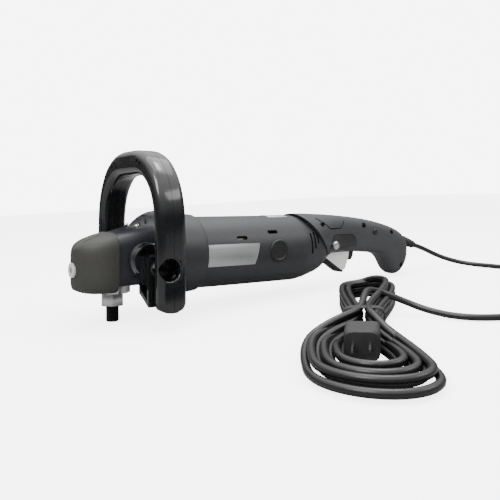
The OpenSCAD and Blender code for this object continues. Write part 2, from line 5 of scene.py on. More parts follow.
# %% Load the frame
import json
import math
import bmesh
import bpy
import numpy as np
from mathutils import Matrix, Vector
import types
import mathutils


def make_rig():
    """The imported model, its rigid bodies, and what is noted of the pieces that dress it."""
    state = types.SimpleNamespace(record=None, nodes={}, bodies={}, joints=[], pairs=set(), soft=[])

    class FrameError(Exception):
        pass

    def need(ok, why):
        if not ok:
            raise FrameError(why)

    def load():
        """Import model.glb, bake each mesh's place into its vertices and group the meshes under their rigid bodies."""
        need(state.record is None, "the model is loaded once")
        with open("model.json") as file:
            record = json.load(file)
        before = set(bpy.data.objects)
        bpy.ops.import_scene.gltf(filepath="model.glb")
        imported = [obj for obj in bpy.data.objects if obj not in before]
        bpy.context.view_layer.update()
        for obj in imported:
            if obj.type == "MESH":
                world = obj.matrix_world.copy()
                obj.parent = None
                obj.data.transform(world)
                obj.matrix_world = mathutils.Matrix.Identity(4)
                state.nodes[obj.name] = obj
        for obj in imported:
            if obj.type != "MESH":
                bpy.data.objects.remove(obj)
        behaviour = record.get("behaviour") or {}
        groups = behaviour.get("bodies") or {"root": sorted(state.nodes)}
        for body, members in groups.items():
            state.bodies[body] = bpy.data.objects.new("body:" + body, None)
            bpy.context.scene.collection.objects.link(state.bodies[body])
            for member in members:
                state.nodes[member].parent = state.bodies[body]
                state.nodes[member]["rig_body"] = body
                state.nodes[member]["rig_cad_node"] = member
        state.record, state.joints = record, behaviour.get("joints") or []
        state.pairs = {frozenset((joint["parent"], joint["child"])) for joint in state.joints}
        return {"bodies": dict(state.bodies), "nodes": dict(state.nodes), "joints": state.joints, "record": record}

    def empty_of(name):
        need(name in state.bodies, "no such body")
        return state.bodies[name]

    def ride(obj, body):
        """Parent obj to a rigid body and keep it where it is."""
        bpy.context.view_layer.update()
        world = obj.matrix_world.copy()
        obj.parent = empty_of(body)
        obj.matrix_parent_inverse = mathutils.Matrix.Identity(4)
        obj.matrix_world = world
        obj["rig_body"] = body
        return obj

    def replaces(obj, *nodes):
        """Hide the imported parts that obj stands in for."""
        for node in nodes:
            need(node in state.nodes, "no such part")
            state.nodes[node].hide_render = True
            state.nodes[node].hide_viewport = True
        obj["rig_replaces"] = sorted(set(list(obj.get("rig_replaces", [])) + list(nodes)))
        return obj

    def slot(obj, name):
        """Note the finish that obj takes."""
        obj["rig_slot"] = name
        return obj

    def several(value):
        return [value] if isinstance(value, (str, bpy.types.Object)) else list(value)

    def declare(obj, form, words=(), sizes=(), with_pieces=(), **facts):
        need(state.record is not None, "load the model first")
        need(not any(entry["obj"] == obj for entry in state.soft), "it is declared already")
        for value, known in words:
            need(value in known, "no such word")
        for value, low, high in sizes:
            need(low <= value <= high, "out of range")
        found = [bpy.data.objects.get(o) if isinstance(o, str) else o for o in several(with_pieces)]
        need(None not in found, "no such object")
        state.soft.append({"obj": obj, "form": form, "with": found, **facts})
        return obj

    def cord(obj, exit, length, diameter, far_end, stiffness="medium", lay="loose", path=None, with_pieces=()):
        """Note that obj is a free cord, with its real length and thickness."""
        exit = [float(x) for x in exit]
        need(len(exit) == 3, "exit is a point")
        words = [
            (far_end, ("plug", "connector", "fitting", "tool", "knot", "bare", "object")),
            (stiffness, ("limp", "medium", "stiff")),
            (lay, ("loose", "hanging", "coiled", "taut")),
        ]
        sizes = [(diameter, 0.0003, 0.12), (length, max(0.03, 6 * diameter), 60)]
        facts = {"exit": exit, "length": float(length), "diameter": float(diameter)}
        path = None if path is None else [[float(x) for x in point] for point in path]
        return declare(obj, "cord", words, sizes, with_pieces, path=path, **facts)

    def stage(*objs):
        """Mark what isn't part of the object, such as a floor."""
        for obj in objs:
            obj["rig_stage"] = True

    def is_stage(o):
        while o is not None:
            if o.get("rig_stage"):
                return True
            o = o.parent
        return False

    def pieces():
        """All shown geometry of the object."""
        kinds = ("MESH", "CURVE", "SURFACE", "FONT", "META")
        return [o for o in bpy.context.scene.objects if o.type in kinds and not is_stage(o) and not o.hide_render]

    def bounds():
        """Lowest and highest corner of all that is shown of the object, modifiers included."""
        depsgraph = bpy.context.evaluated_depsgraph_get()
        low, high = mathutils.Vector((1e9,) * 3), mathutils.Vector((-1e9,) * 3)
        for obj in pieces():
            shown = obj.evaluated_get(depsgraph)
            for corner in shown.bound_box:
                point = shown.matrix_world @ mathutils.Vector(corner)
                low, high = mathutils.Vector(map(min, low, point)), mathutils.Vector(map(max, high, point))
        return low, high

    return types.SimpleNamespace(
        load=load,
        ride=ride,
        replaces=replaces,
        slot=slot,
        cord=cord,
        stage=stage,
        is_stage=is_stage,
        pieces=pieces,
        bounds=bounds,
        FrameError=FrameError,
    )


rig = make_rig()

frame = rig.load()
cad_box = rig.bounds()
print("nodes:", len(frame["nodes"]), "bodies:", len(frame["bodies"]))

# %% [markdown]
# The tool doesn't stand upright: it rests on its spindle tip and on the hook of its grip. Shapes are
# easier to think about with the spindle upright, so they are drawn in that tool frame, in millimetres,
# and one matrix takes them to the frame of the engineering model, in metres.

# %% Tool frame to row frame
MM = 0.001
TIP_ANGLE = math.radians(2.94)
TIP_LIFT = 7 * math.sin(TIP_ANGLE)
STAND = (Matrix.Scale(MM, 4) @ Matrix.Translation((0, 0, TIP_LIFT)) @ Matrix.Rotation(TIP_ANGLE, 4, "Y"))
AXIS_Z = 68.0          # height of the motor's axis


def at(x, y, z):
    """A point of the tool frame, in the row frame."""
    return STAND @ Vector((x, y, z))


# %% [markdown]
# The camera stands to the left of the head and looks along the tool, so the D-handle is the nearest
# thing. Its height is that of the motor's top, and a small shift drops the tool in the picture without
# tipping the uprights.

# %% Camera
VIEW_AZIMUTH = math.radians(35)
LENS_MM, SENSOR, SHIFT = 43.488, 36.0, -0.0908
camera_data = bpy.data.cameras.new("camera")
camera = bpy.data.objects.new("camera", camera_data)
bpy.context.scene.collection.objects.link(camera)
camera_data.sensor_width = SENSOR
camera_data.lens = LENS_MM
camera_data.shift_y = SHIFT
turn = Matrix.Rotation(-VIEW_AZIMUTH, 4, "Z") @ Matrix.Rotation(math.radians(90), 4, "X")
tool_turn = Matrix.Rotation(TIP_ANGLE, 4, "Y")
camera.matrix_world = Matrix.Translation(at(-246, -604, 122.5)) @ tool_turn @ turn
bpy.context.scene.camera = camera
print("lens", round(camera_data.lens, 1), "mm")

# %% [markdown]
# The cord is one length of rubber flex. It leaves the strain relief, drops to the floor, sweeps round and
# climbs onto its own hank. A hank is a loop pinched at the waist by a tie, so each turn is worked out by
# a rule: a wide lobe in front, the waist, and a narrow lobe behind. The lead's points are listed one by one.

# %% Route of the cord
CORD_D = 0.0068
LEAD = [
    (480.2, 0, 38.0), (492, 0, 33.9), (506, -2, 28), (522, -7, 19.5), (538, -17, 11.5), (551, -33, 6),
    (559, -55, 3.6), (560, -82, 3.5), (555, -110, 3.5), (543, -140, 3.5), (525, -168, 3.5),
    (501, -195, 3.5), (472, -219, 3.5), (439, -241, 3.5), (403, -260, 3.5), (366, -275, 3.5),
    (330, -284, 3.5), (294, -284, 3.5), (264, -270, 3.5), (247, -245, 3.7), (240, -217, 6.5),
    (231, -194, 14), (215, -181, 23), (195, -182, 28.6), (176, -195, 28.8),
]
TIE = Vector((140, -228, 0))
HANK_TURN = Matrix.Rotation(math.radians(43), 3, "Z")
TURNS = 7
PITCH = 6.9            # from one strand to the next
PLUG_TAIL = (-28, 0, 12.5)
LEAN = 0.15            # how far the front lobe leans to one side


def in_hank(u, v, z):
    """A point of the hank, along and across it, in the row frame in millimetres."""
    return TIE + HANK_TURN @ Vector((u, v, z))


def waist(k):
    """Across and up, where strand k passes the tie."""
    return 3.6 + PITCH * (k % 2), 3.5 + PITCH * (k // 2)


def front_half(k, side):
    """Strand k from the waist to the tip of the front lobe, which leans over and fans out on one side."""
    v0, z0 = waist(k)
    half = 19 + (4.9 if side > 0 else 3.5) * k
    swell = (0.16, 0.58, 0.92, 1.02) if side > 0 else (0.10, 0.34, 0.60, 0.86)
    tip = 106 + 9.0 * k
    run = 0.95 * half
    z1 = 3.5 + 5.6 * (k % 2) + 1.5 * (k // 4)
    points = [(0, v0, z0), (-16, v0 + swell[0] * (half - v0), z0),
              (-34, v0 + swell[1] * (half - v0), 0.7 * z0 + 0.3 * z1),
              (-54, v0 + swell[2] * (half - v0), 0.35 * z0 + 0.65 * z1),
              (0.5 * (-tip + run - 54), v0 + swell[3] * (half - v0), 0.1 * z0 + 0.9 * z1)]
    for degrees in range(0, 91, 15):
        a = math.radians(degrees)
        points.append((-tip + run - run * math.sin(a), half * math.cos(a), z1))
    return [(u, side * v + LEAN * min(0, u + 40), z) for u, v, z in points]


def back_half(k, side):
    """Strand k from the waist to the tip of the back lobe."""
    v0, z0 = waist(k)
    half = 21 + PITCH * (k % 2)
    centre = 164 - 1.5 * (k // 2)
    points = [(12, v0, z0), (34, v0 + 0.12 * (half - v0), z0), (62, v0 + 0.38 * (half - v0), z0),
              (92, v0 + 0.66 * (half - v0), z0), (124, v0 + 0.90 * (half - v0), z0),
              (146, v0 + 0.98 * (half - v0), z0)]
    for degrees in range(0, 91, 15):
        a = math.radians(degrees)
        points.append((centre + half * math.sin(a), half * math.cos(a), z0))
    return [(u, side * v, z) for u, v, z in points]


def blend_points(a, b):
    """Halfway between two lists of points."""
    return [tuple((p + q) / 2 for p, q in zip(m, n)) for m, n in zip(a, b)]


def hank_points():
    """All turns, from the top strand down to the one that ends in the plug."""
    out = []
    for k in range(TURNS - 1, -1, -1):
        out += front_half(k, 1) + front_half(k, -1)[-2::-1]
        if k > 0:
            out += back_half(k, -1)[:-1] + blend_points(back_half(k, -1)[-1:], back_half(k - 1, -1)[-1:])
            out += back_half(k - 1, 1)[-2::-1]
    out.pop()
    return [in_hank(*p) for p in out]


def smooth(points, spacing):
    """Points a set distance apart on a Catmull-Rom curve through the given ones."""
    p = np.array([tuple(q) for q in points])
    ends = np.vstack([2 * p[0] - p[1], p, 2 * p[-1] - p[-2]])
    fine = []
    for i in range(len(p) - 1):
        a, b, c, d = ends[i:i + 4]
        for t in np.arange(0, 1, 0.1):
            fine.append(0.5 * (2 * b + (c - a) * t + (2 * a - 5 * b + 4 * c - d) * t ** 2
                               + (3 * b - a - 3 * c + d) * t ** 3))
    fine = np.array(fine + [p[-1]])
    run = np.concatenate([[0], np.cumsum(np.linalg.norm(np.diff(fine, axis=0), axis=1))])
    steps = np.linspace(0, run[-1], int(run[-1] / spacing) + 1)
    return np.stack([np.interp(steps, run, fine[:, i]) for i in range(3)], axis=1)


plug_run = [in_hank(-14, 3.0, 11.4), in_hank(*PLUG_TAIL)]
route = smooth([Vector(p) for p in LEAD] + hank_points() + plug_run, 6.0)
for _ in range(3):     # the flex evens out every change of bend, as stiff rubber does
    route[1:-1] = 0.25 * route[:-2] + 0.5 * route[1:-1] + 0.25 * route[2:]
CORD_LENGTH = float(np.linalg.norm(np.diff(route, axis=0), axis=1).sum()) * MM
print("cord", round(CORD_LENGTH, 3), "m in", len(route), "points")

# %% Cord as a curve
cord_curve = bpy.data.curves.new("mains_cord", "CURVE")
cord_curve.dimensions = "3D"
cord_curve.bevel_depth = CORD_D / 2
cord_curve.bevel_resolution = 3
cord_curve.use_fill_caps = True
cord_spline = cord_curve.splines.new("POLY")
cord_spline.points.add(len(route) - 1)
for spline_point, p in zip(cord_spline.points, route):
    spline_point.co = (*(p * MM), 1)
cord_spline.use_smooth = True
mains_cord = bpy.data.objects.new("mains_cord", cord_curve)
bpy.context.scene.collection.objects.link(mains_cord)

# %% [markdown]
# Every finish starts from what the real surface is. Colours are read as sRGB hex values and turned to
# linear once. One helper adds a shader node with its settings and links, so a material reads as a short
# list.

# %% Colour and node helpers
def linear(hex_code):
    """An sRGB hex colour as linear RGBA."""
    values = [int(hex_code[i:i + 2], 16) / 255 for i in (1, 3, 5)]
    return (*[v / 12.92 if v <= 0.04045 else ((v + 0.055) / 1.055) ** 2.4 for v in values], 1.0)


def add(tree, kind, links=None, **settings):
    """Adds a node; settings are its properties or sockets, links name the sockets that feed it."""
    made = tree.nodes.new(kind)
    for key, value in settings.items():
        if hasattr(made, key):
            setattr(made, key, value)
        else:
            made.inputs[key.replace("_", " ")].default_value = value
    for key, source in (links or {}).items():
        tree.links.new(source, made.inputs[key])
    return made


def moulded(name, colour, second, rough, grain_mm, depth_mm, patch_mm=30, rough_swing=0.08, **shader):
    """A surface with a fine grain in its mould, faint patches of colour and an uneven polish."""
    made = bpy.data.materials.new(name)
    made.use_nodes = True
    tree = made.node_tree
    tree.nodes.clear()
    place = add(tree, "ShaderNodeTexCoord").outputs["Object"]
    grain = add(tree, "ShaderNodeTexNoise", {"Vector": place}, Scale=1 / (grain_mm * MM), Detail=3.0)
    patch = add(tree, "ShaderNodeTexNoise", {"Vector": place}, Scale=1 / (patch_mm * MM), Detail=4.0)
    tint = add(tree, "ShaderNodeMix", {"Factor": patch.outputs["Fac"]}, data_type="RGBA")
    tint.inputs[6].default_value = linear(colour)
    tint.inputs[7].default_value = linear(second)
    polish = add(tree, "ShaderNodeMapRange", {"Value": patch.outputs["Fac"]}, To_Min=rough - rough_swing,
                 To_Max=rough + rough_swing)
    bump = add(tree, "ShaderNodeBump", {"Height": grain.outputs["Fac"]}, Distance=depth_mm * MM,
               Strength=1.0)
    surface = add(tree, "ShaderNodeBsdfPrincipled", {
        "Base Color": tint.outputs[2], "Roughness": polish.outputs["Result"],
        "Normal": bump.outputs["Normal"]}, **shader)
    add(tree, "ShaderNodeOutputMaterial", {"Surface": surface.outputs["BSDF"]})
    return made


def brushed(name, colour, second, rough, stroke_mm, across_axis, **shader):
    """A metal drawn out in fine parallel strokes."""
    made = bpy.data.materials.new(name)
    made.use_nodes = True
    tree = made.node_tree
    tree.nodes.clear()
    place = add(tree, "ShaderNodeTexCoord").outputs["Object"]
    scale = [1 / (60 * MM)] * 3
    scale[across_axis] = 1 / (stroke_mm * MM)
    stretch = add(tree, "ShaderNodeMapping", {"Vector": place}, Scale=scale)
    strokes = add(tree, "ShaderNodeTexNoise", {"Vector": stretch.outputs["Vector"]}, Scale=1.0, Detail=6.0)
    tint = add(tree, "ShaderNodeMix", {"Factor": strokes.outputs["Fac"]}, data_type="RGBA")
    tint.inputs[6].default_value = linear(colour)
    tint.inputs[7].default_value = linear(second)
    polish = add(tree, "ShaderNodeMapRange", {"Value": strokes.outputs["Fac"]}, To_Min=rough - 0.08,
                 To_Max=rough + 0.1)
    bump = add(tree, "ShaderNodeBump", {"Height": strokes.outputs["Fac"]}, Distance=0.02 * MM, Strength=0.6)
    surface = add(tree, "ShaderNodeBsdfPrincipled", {
        "Base Color": tint.outputs[2], "Roughness": polish.outputs["Result"],
        "Normal": bump.outputs["Normal"]}, Metallic=1.0, **shader)
    add(tree, "ShaderNodeOutputMaterial", {"Surface": surface.outputs["BSDF"]})
    return made


# %% [markdown]
# The housings are glass-filled nylon: hard, slightly waxy, with the fine spark-eroded grain of their
# moulds. The D-handle is polished ABS, which mirrors the lamps. The cover on the nose is a softer rubber,
# dusty and warm in its grey. A real mould grain is about 0.1 mm, too fine to show, so it is drawn a few
# times coarser.

# %% Plastics and rubbers
housing_nylon = moulded("glass_filled_nylon_grey", "#1f2022", "#26272a", 0.46, 0.55, 0.05, IOR=1.53)
grip_nylon = moulded("glass_filled_nylon_mid_grey", "#2a2b2d", "#323335", 0.50, 0.55, 0.06, IOR=1.53)
cover_rubber = moulded("moulded_rubber_warm_grey", "#242420", "#2d2d28", 0.55, 0.8, 0.05, IOR=1.52)
gloss_abs = moulded("polished_abs_black", "#0b0c0d", "#101113", 0.15, 2.5, 0.012, 22, 0.05, IOR=1.54,
                    Coat_Weight=0.35, Coat_Roughness=0.12)
trim_abs = moulded("satin_abs_black", "#0e0f10", "#17181a", 0.38, 0.6, 0.03, IOR=1.54)
button_abs = moulded("satin_abs_light_grey", "#a9a9a3", "#b9b9b3", 0.42, 0.6, 0.02, 12, IOR=1.54)
trigger_abs = moulded("painted_abs_silver", "#c3c4c2", "#d4d5d2", 0.33, 0.4, 0.01, 15, IOR=1.5,
                      Coat_Weight=0.4, Coat_Roughness=0.15)
ribbed_rubber = moulded("nitrile_rubber_black", "#161617", "#202021", 0.60, 0.5, 0.04, 12, IOR=1.52)
flex_pvc = moulded("extruded_pvc_black", "#0a0a0b", "#121213", 0.34, 1.6, 0.03, 40, 0.08, IOR=1.53)
fibre_black = moulded("glass_filled_nylon_black", "#121314", "#1a1b1c", 0.45, 0.6, 0.04, IOR=1.53)

# %% [markdown]
# The gear case is die-cast aluminium under a blue-black powder coat, which pools into a faint orange
# peel. Loose metal parts are zinc plated or blackened steel; the plates are brushed aluminium.

# %% Metals and windings
case_paint = moulded("powder_coat_blue_black", "#15171c", "#1c1f25", 0.34, 1.4, 0.04, 25, 0.06, IOR=1.5)
zinc_steel = moulded("zinc_plated_steel", "#c6c7c8", "#dcdcdb", 0.24, 0.9, 0.008, 8, 0.07, Metallic=1.0)
ground_steel = moulded("ground_steel", "#9fa1a3", "#b4b5b6", 0.30, 0.5, 0.008, 10, 0.06, Metallic=1.0)
black_steel = moulded("black_oxide_steel", "#161616", "#232322", 0.38, 0.7, 0.01, 8, 0.08, Metallic=0.6)
plate_metal = brushed("brushed_aluminium", "#c2c4c6", "#dadbdb", 0.42, 0.5, 2)
core_steel = brushed("varnished_lamination_steel", "#55504a", "#77736c", 0.45, 0.6, 0)
winding_copper = brushed("enamelled_copper_wire", "#7a3414", "#a4552a", 0.30, 0.7, 0, Coat_Weight=0.6)
turned_copper = brushed("turned_copper", "#a5623e", "#c07d55", 0.28, 0.4, 0)
brass = moulded("pressed_brass", "#a8843a", "#bf9a4d", 0.32, 0.6, 0.01, 8, 0.05, Metallic=1.0)
nickel_brass = moulded("nickel_plated_brass", "#c9c6bd", "#dad8d2", 0.20, 0.7, 0.006, 8, 0.06, Metallic=1.0)
carbon_block = moulded("pressed_carbon", "#121212", "#1d1d1c", 0.62, 0.4, 0.03, 6, IOR=1.6)
circuit_green = moulded("solder_mask_green", "#173c27", "#1f4a31", 0.30, 0.9, 0.02, 10, IOR=1.5)

# %% [markdown]
# Shells are lofts: rings of points joined with quads, closed at both ends. One builder serves the cover,
# the gear case, the hood and the grip, because each is a row of rounded sections along the tool. Edges
# sharper than a set angle stay crisp and the rest shade smoothly.

# %% Mesh helpers
def finish_mesh(name, bm, material, turn=STAND, sharp=32, merge=0.004):
    """Places a mesh, merges what meets, points its faces out and gives it its finish."""
    bmesh.ops.remove_doubles(bm, verts=bm.verts, dist=merge)
    bmesh.ops.recalc_face_normals(bm, faces=bm.faces)
    mesh = bpy.data.meshes.new(name)
    bm.to_mesh(mesh)
    bm.free()
    mesh.transform(turn)
    mesh.materials.append(material)
    mesh.shade_smooth()
    mesh.set_sharp_from_angle(angle=math.radians(sharp))
    made = bpy.data.objects.new(name, mesh)
    bpy.context.scene.collection.objects.link(made)
    return made


def loft(rings, close=True, caps=True):
    """A bmesh through rings of equally many points."""
    bm = bmesh.new()
    rows = [[bm.verts.new(p) for p in ring] for ring in rings]
    count = len(rows[0])
    span = count if close else count - 1
    for a, b in zip(rows, rows[1:]):
        for i in range(span):
            j = (i + 1) % count
            bm.faces.new((a[i], a[j], b[j], b[i]))
    if caps:
        bm.faces.new(rows[0][::-1])
        bm.faces.new(rows[-1])
    return bm


def curve_value(table, x):
    """A smooth value at x through the table's (x, value) pairs, with no overshoot."""
    xs, ys = [p[0] for p in table], [p[1] for p in table]
    if x <= xs[0] or x >= xs[-1]:
        return ys[0] if x <= xs[0] else ys[-1]
    slopes = [(ys[i + 1] - ys[i]) / (xs[i + 1] - xs[i]) for i in range(len(xs) - 1)]
    tangent = [slopes[0]] + [0 if a * b <= 0 else 2 * a * b / (a + b) for a, b in zip(slopes, slopes[1:])]
    tangent.append(slopes[-1])
    i = max(k for k in range(len(xs) - 1) if xs[k] <= x)
    h = xs[i + 1] - xs[i]
    t = (x - xs[i]) / h
    return ((2 * t ** 3 - 3 * t ** 2 + 1) * ys[i] + (t ** 3 - 2 * t ** 2 + t) * h * tangent[i]
            + (3 * t ** 2 - 2 * t ** 3) * ys[i + 1] + (t ** 3 - t ** 2) * h * tangent[i + 1])


def section(x, half_w, low, high, power, count=72):
    """A rounded section across the tool: power 2 is an ellipse, more is squarer."""
    ring = []
    for i in range(count):
        a = 2 * math.pi * (i + 0.5) / count
        c, s = math.cos(a), math.sin(a)
        reach = (abs(c) ** power + abs(s) ** power) ** (-1 / power)
        ring.append(Vector((x, half_w * c * reach, (low + high) / 2 + (high - low) / 2 * s * reach)))
    return ring


def lathe(profile, count=96, along="x"):
    """A turned shape from (place, radius) pairs, round the motor's axis or round the spindle."""
    rings = []
    for place, radius in profile:
        ring = []
        for i in range(count):
            a = 2 * math.pi * i / count
            y, w = max(radius, 0.001) * math.cos(a), max(radius, 0.001) * math.sin(a)
            ring.append(Vector((place, y, AXIS_Z + w)) if along == "x" else Vector((y, w, place)))
        rings.append(ring)
    return rings


def rounded(profile, radius=0.6, steps=3):
    """A profile with each inner corner cut by a small arc."""
    out = [profile[0]]
    for a, b, c in zip(profile, profile[1:], profile[2:]):
        a, b, c = Vector(a), Vector(b), Vector(c)
        first, last = a - b, c - b
        cut = min(radius, 0.45 * first.length, 0.45 * last.length)
        p, q = b + first.normalized() * cut, b + last.normalized() * cut
        for i in range(steps + 1):
            t = i / steps
            out.append(tuple((1 - t) ** 2 * p + 2 * t * (1 - t) * b + t * t * q))
    return out + [profile[-1]]


def slab(outline, y0, y1):
    """A plate across the tool, from an outline of (x, z) points."""
    return [[Vector((x, y, z)) for x, z in outline] for y in (y0, y1)]


def round_outline(points, radius=2.0, steps=4):
    """A closed outline with every corner rounded."""
    out = []
    n = len(points)
    for i in range(n):
        a, b, c = (Vector(points[(i + k) % n]) for k in (-1, 0, 1))
        cut = min(radius, 0.45 * (a - b).length, 0.45 * (c - b).length)
        p, q = b + (a - b).normalized() * cut, b + (c - b).normalized() * cut
        for s in range(steps + 1):
            t = s / steps
            out.append(tuple((1 - t) ** 2 * p + 2 * t * (1 - t) * b + t * t * q))
    return out


def cut(target, *cutters):
    """Cuts the cutters out of the target and throws them away."""
    for tool in cutters:
        change = target.modifiers.new("cut", "BOOLEAN")
        change.object, change.operation, change.solver = tool, "DIFFERENCE", "EXACT"
        plain(target)
        bpy.data.objects.remove(tool)
    return target


def plain(target, sharp=32):
    """Applies all modifiers to the object's mesh."""
    graph = bpy.context.evaluated_depsgraph_get()
    mesh = bpy.data.meshes.new_from_object(target.evaluated_get(graph))
    target.modifiers.clear()
    target.data = mesh
    mesh.shade_smooth()
    mesh.set_sharp_from_angle(angle=math.radians(sharp))
    return target


def soften(target, width_mm, segments=3, angle=35):
    """Rounds the sharp edges."""
    edge = target.modifiers.new("edge", "BEVEL")
    edge.width, edge.segments, edge.limit_method = width_mm * MM, segments, "ANGLE"
    edge.angle_limit = math.radians(angle)
    edge.harden_normals = False
    return plain(target, 40)


def halve(bm, origin, normal):
    """Keeps the side of a plane that its normal leaves, and closes the cut."""
    geometry = bm.verts[:] + bm.edges[:] + bm.faces[:]
    done = bmesh.ops.bisect_plane(bm, geom=geometry, plane_co=origin, plane_no=normal, clear_outer=True,
                                  dist=1e-5)
    rim = [e for e in done["geom_cut"] if isinstance(e, bmesh.types.BMEdge)]
    bmesh.ops.holes_fill(bm, edges=rim, sides=0)
    return bm


def settle(target, body, slot, *nodes):
    """Says what a piece rides on, its slot, and the engineering nodes it stands for."""
    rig.ride(target, body)
    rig.slot(target, slot)
    if nodes:
        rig.replaces(target, *nodes)
    return target

# %% [markdown]
# The nose of the head wears a moulded rubber cover, which keeps the hot gear case off the hand and the
# tool off the paint. From above it is a bullet, and its top climbs towards the motor. The gear case
# behind it is the same form, a cover's thickness smaller, so one row of sections makes both.

# %% Gear head and its cover
def head_section(x, grow, low, power):
    """One section of the head: the nose is round in plan and drops at its tip."""
    nose_r, nose_x = 30.4 + grow, -10.0
    drawn = max(0.0, nose_x - x) / nose_r
    narrow = math.sqrt(max(0.0, 1 - min(1.0, drawn) ** 2))
    half = nose_r * narrow if x < nose_x else nose_r + 7.6 * min(1, (x - nose_x) / 59) ** 1.2
    tuck = 1 - narrow
    top = 82 + grow + 24 * (x + 40.4) / 89.4
    return section(x, max(half, 1.2), low + 9 * tuck ** 1.6, top - 11 * tuck ** 1.6, power)


nose_steps = [math.radians(a) for a in range(0, 91, 3)]
cover_xs = [-10 - 32.9 * math.sin(a) for a in reversed(nose_steps)] + [-8, -6.0, -5.2]
cover_rings = [head_section(x, 2.6 if x < -5.5 else 1.9, 31.3, 4.2) for x in cover_xs]
cover = finish_mesh("rubber_head_cover", loft(cover_rings), cover_rubber)
lock_well = finish_mesh("well", loft(lathe([(-60, 8.3), (-36, 8.3)], 48)), trim_abs,
                        STAND @ Matrix.Translation((0, 0, 56 - AXIS_Z)))
bottom_well = finish_mesh("well", loft(lathe([(20, 18.9), (36.5, 18.9)], 64, "z")), trim_abs)
slit = finish_mesh("well", loft([[Vector((x, y, z)) for x, z in ((-34, 84), (-16, 88), (-16, 99), (-34, 95))]
                                 for y in (-9.8, -8.2)]), trim_abs)
settle(soften(cut(cover, lock_well, bottom_well, slit), 0.5), "tool", "cover_rubber", "head_cover")

case_xs = [-6.4, -5, 0, 8, 16, 24, 32, 40, 46, 49]
case = finish_mesh("gear_case", loft([head_section(x, 0.6 if x > -6 else -1.0, 37.8,
                                                   4.6) for x in case_xs]), case_paint)
settle(case, "tool", "cast_aluminium", "gear_housing")
boss_profile = rounded([(37.9, 0.1), (37.9, 17.8), (36.6, 19), (30, 19)], 0.8)
for side, title in ((-1, "near"), (1, "far")):
    boss = finish_mesh(f"handle_boss_{title}", loft(lathe(boss_profile, 64, "z")), case_paint,
                       STAND @ Matrix.Translation((22.5, 0, 65)) @ Matrix.Rotation(math.radians(-90 * side),
                                                                                   4, "X"))
    settle(boss, "tool", "cast_aluminium")
print("cover and case:", len(cover.data.polygons), len(case.data.polygons), "faces")

# %% [markdown]
# Behind the case rises the hood that turns the fan's air forwards. Its slots are dark because nothing
# lights the inside, so they are cut right into the form.

# %% Exhaust hood
hood_table_top = [(13, 93.5), (18, 98.5), (28, 106), (38, 112.3), (46, 115.3), (50.2, 116)]
hood_table_half = [(13, 8), (18, 17), (28, 29), (38, 38), (46, 44), (50.2, 45.6)]
hood = finish_mesh("fan_exhaust_hood", loft([
    section(x, curve_value(hood_table_half, x), 55, curve_value(hood_table_top, x), 2.3)
    for x in (13, 14, 16, 18, 21, 24, 28, 32, 36, 40, 43, 46, 48, 50.2)]), housing_nylon)
louvres = [finish_mesh("well", loft([[Vector((x + t, y, z + s)) for t,
                                      s in ((0, 0), (2.2, 0), (8.2, 9), (6.0, 9))]
                                     for y in (-24 + 1.5 * n, 24 - 1.5 * n)]), trim_abs)
           for n, (x, z) in enumerate(((22, 98), (28, 102)))]
cut(hood, *louvres)
settle(soften(hood, 0.35), "tool", "grey_nylon", "exhaust_hood")

# %% [markdown]
# The motor housing is a barrel, turned like a bottle: a fan section with a lip, a long straight barrel
# and a tail that closes under the grip. Its holes are cut from it: two vent slots a side, the slits at
# the tail and the wells of the brush caps. The grip meets it along a slanting seam.

# %% Motor housing
SEAM, SEAM_LEAN = 325.2, 0.782           # x + lean * z along the seam between barrel and grip
seam_point = Vector((SEAM - SEAM_LEAN * AXIS_Z, 0, AXIS_Z))
seam_normal = Vector((1, 0, SEAM_LEAN)).normalized()
barrel_profile = rounded([
    (50.4, 38), (50.4, 45.4), (60, 45.2), (86, 43.9), (90.5, 43.6), (92.4, 43.2), (92.8, 41.2), (94.5, 40.8),
    (150, 41), (236, 41), (248, 38.8), (258, 36.2), (268, 33.4), (276, 30), (283, 25), (288, 18), (291, 9),
    (291.6, 1)], 4, 4)
barrel_profile[0:0] = [(52, 2), (52, 38)]
barrel_bm = halve(loft(lathe(barrel_profile, 128)), seam_point - 0.35 * seam_normal, seam_normal)
barrel = finish_mesh("motor_barrel", barrel_bm, housing_nylon)


def side_well(x, angle, outline, inner=20.0, outer=55.0):
    """A cutter on each side that enters the barrel at an angle; its outline runs along X and round it."""
    cutters = []
    for side in (-1, 1):
        turned = Matrix.Translation((x, 0, AXIS_Z)) @ Matrix.Rotation(math.radians(side * angle), 4, "X")
        rings = [[Vector((u, side * y, v)) for u, v in outline] for y in (outer, inner)]
        cutters.append(finish_mesh("well", loft(rings), trim_abs, STAND @ turned))
    return cutters


def slot_outline(length, width):
    """A slot with round ends."""
    r, out = width / 2, []
    for end, start in ((1, -90), (-1, 90)):
        for i in range(9):
            a = math.radians(start + 180 * i / 8)
            out.append((end * (length / 2 - r) + r * math.cos(a), r * math.sin(a)))
    return out


wells = side_well(140, 24, slot_outline(15, 4.8), 30) + side_well(185.5, 33, slot_outline(15, 4.8), 30)
for n in range(3):
    tall = 13 - 2.5 * n
    wells += side_well(243.5 + 6.5 * n, 10 + 6 * n, round_outline(
        [(-1.6, -tall), (1.6, -tall), (1.6, tall), (-1.6, tall)], 1.2), 26 - 4 * n)
cut(barrel, *wells)
print("barrel:", len(barrel.data.polygons), "faces")
settle(barrel, "tool", "grey_nylon", "motor_housing")

# %% [markdown]
# Small parts sit on the barrel: a ring where it meets the gear case, pale grey as a painted highlight of its lit front
# face, the blank nameplate that is bent to the barrel's side, a plate on top with a raised tail, and a slotted cap
# over each carbon brush.

# %% Ring, plates and brush caps
# The ring is grey nylon like the barrel. Its light grey satin finish is painted highlight, standing for the lamp light
# on its front face.
ring = finish_mesh("housing_front_ring", loft(lathe(rounded(
    [(48.6, 38), (48.6, 45.9), (50.9, 45.9), (50.9, 38)], 0.5), 128)), button_abs)
settle(ring, "tool", "grey_nylon")


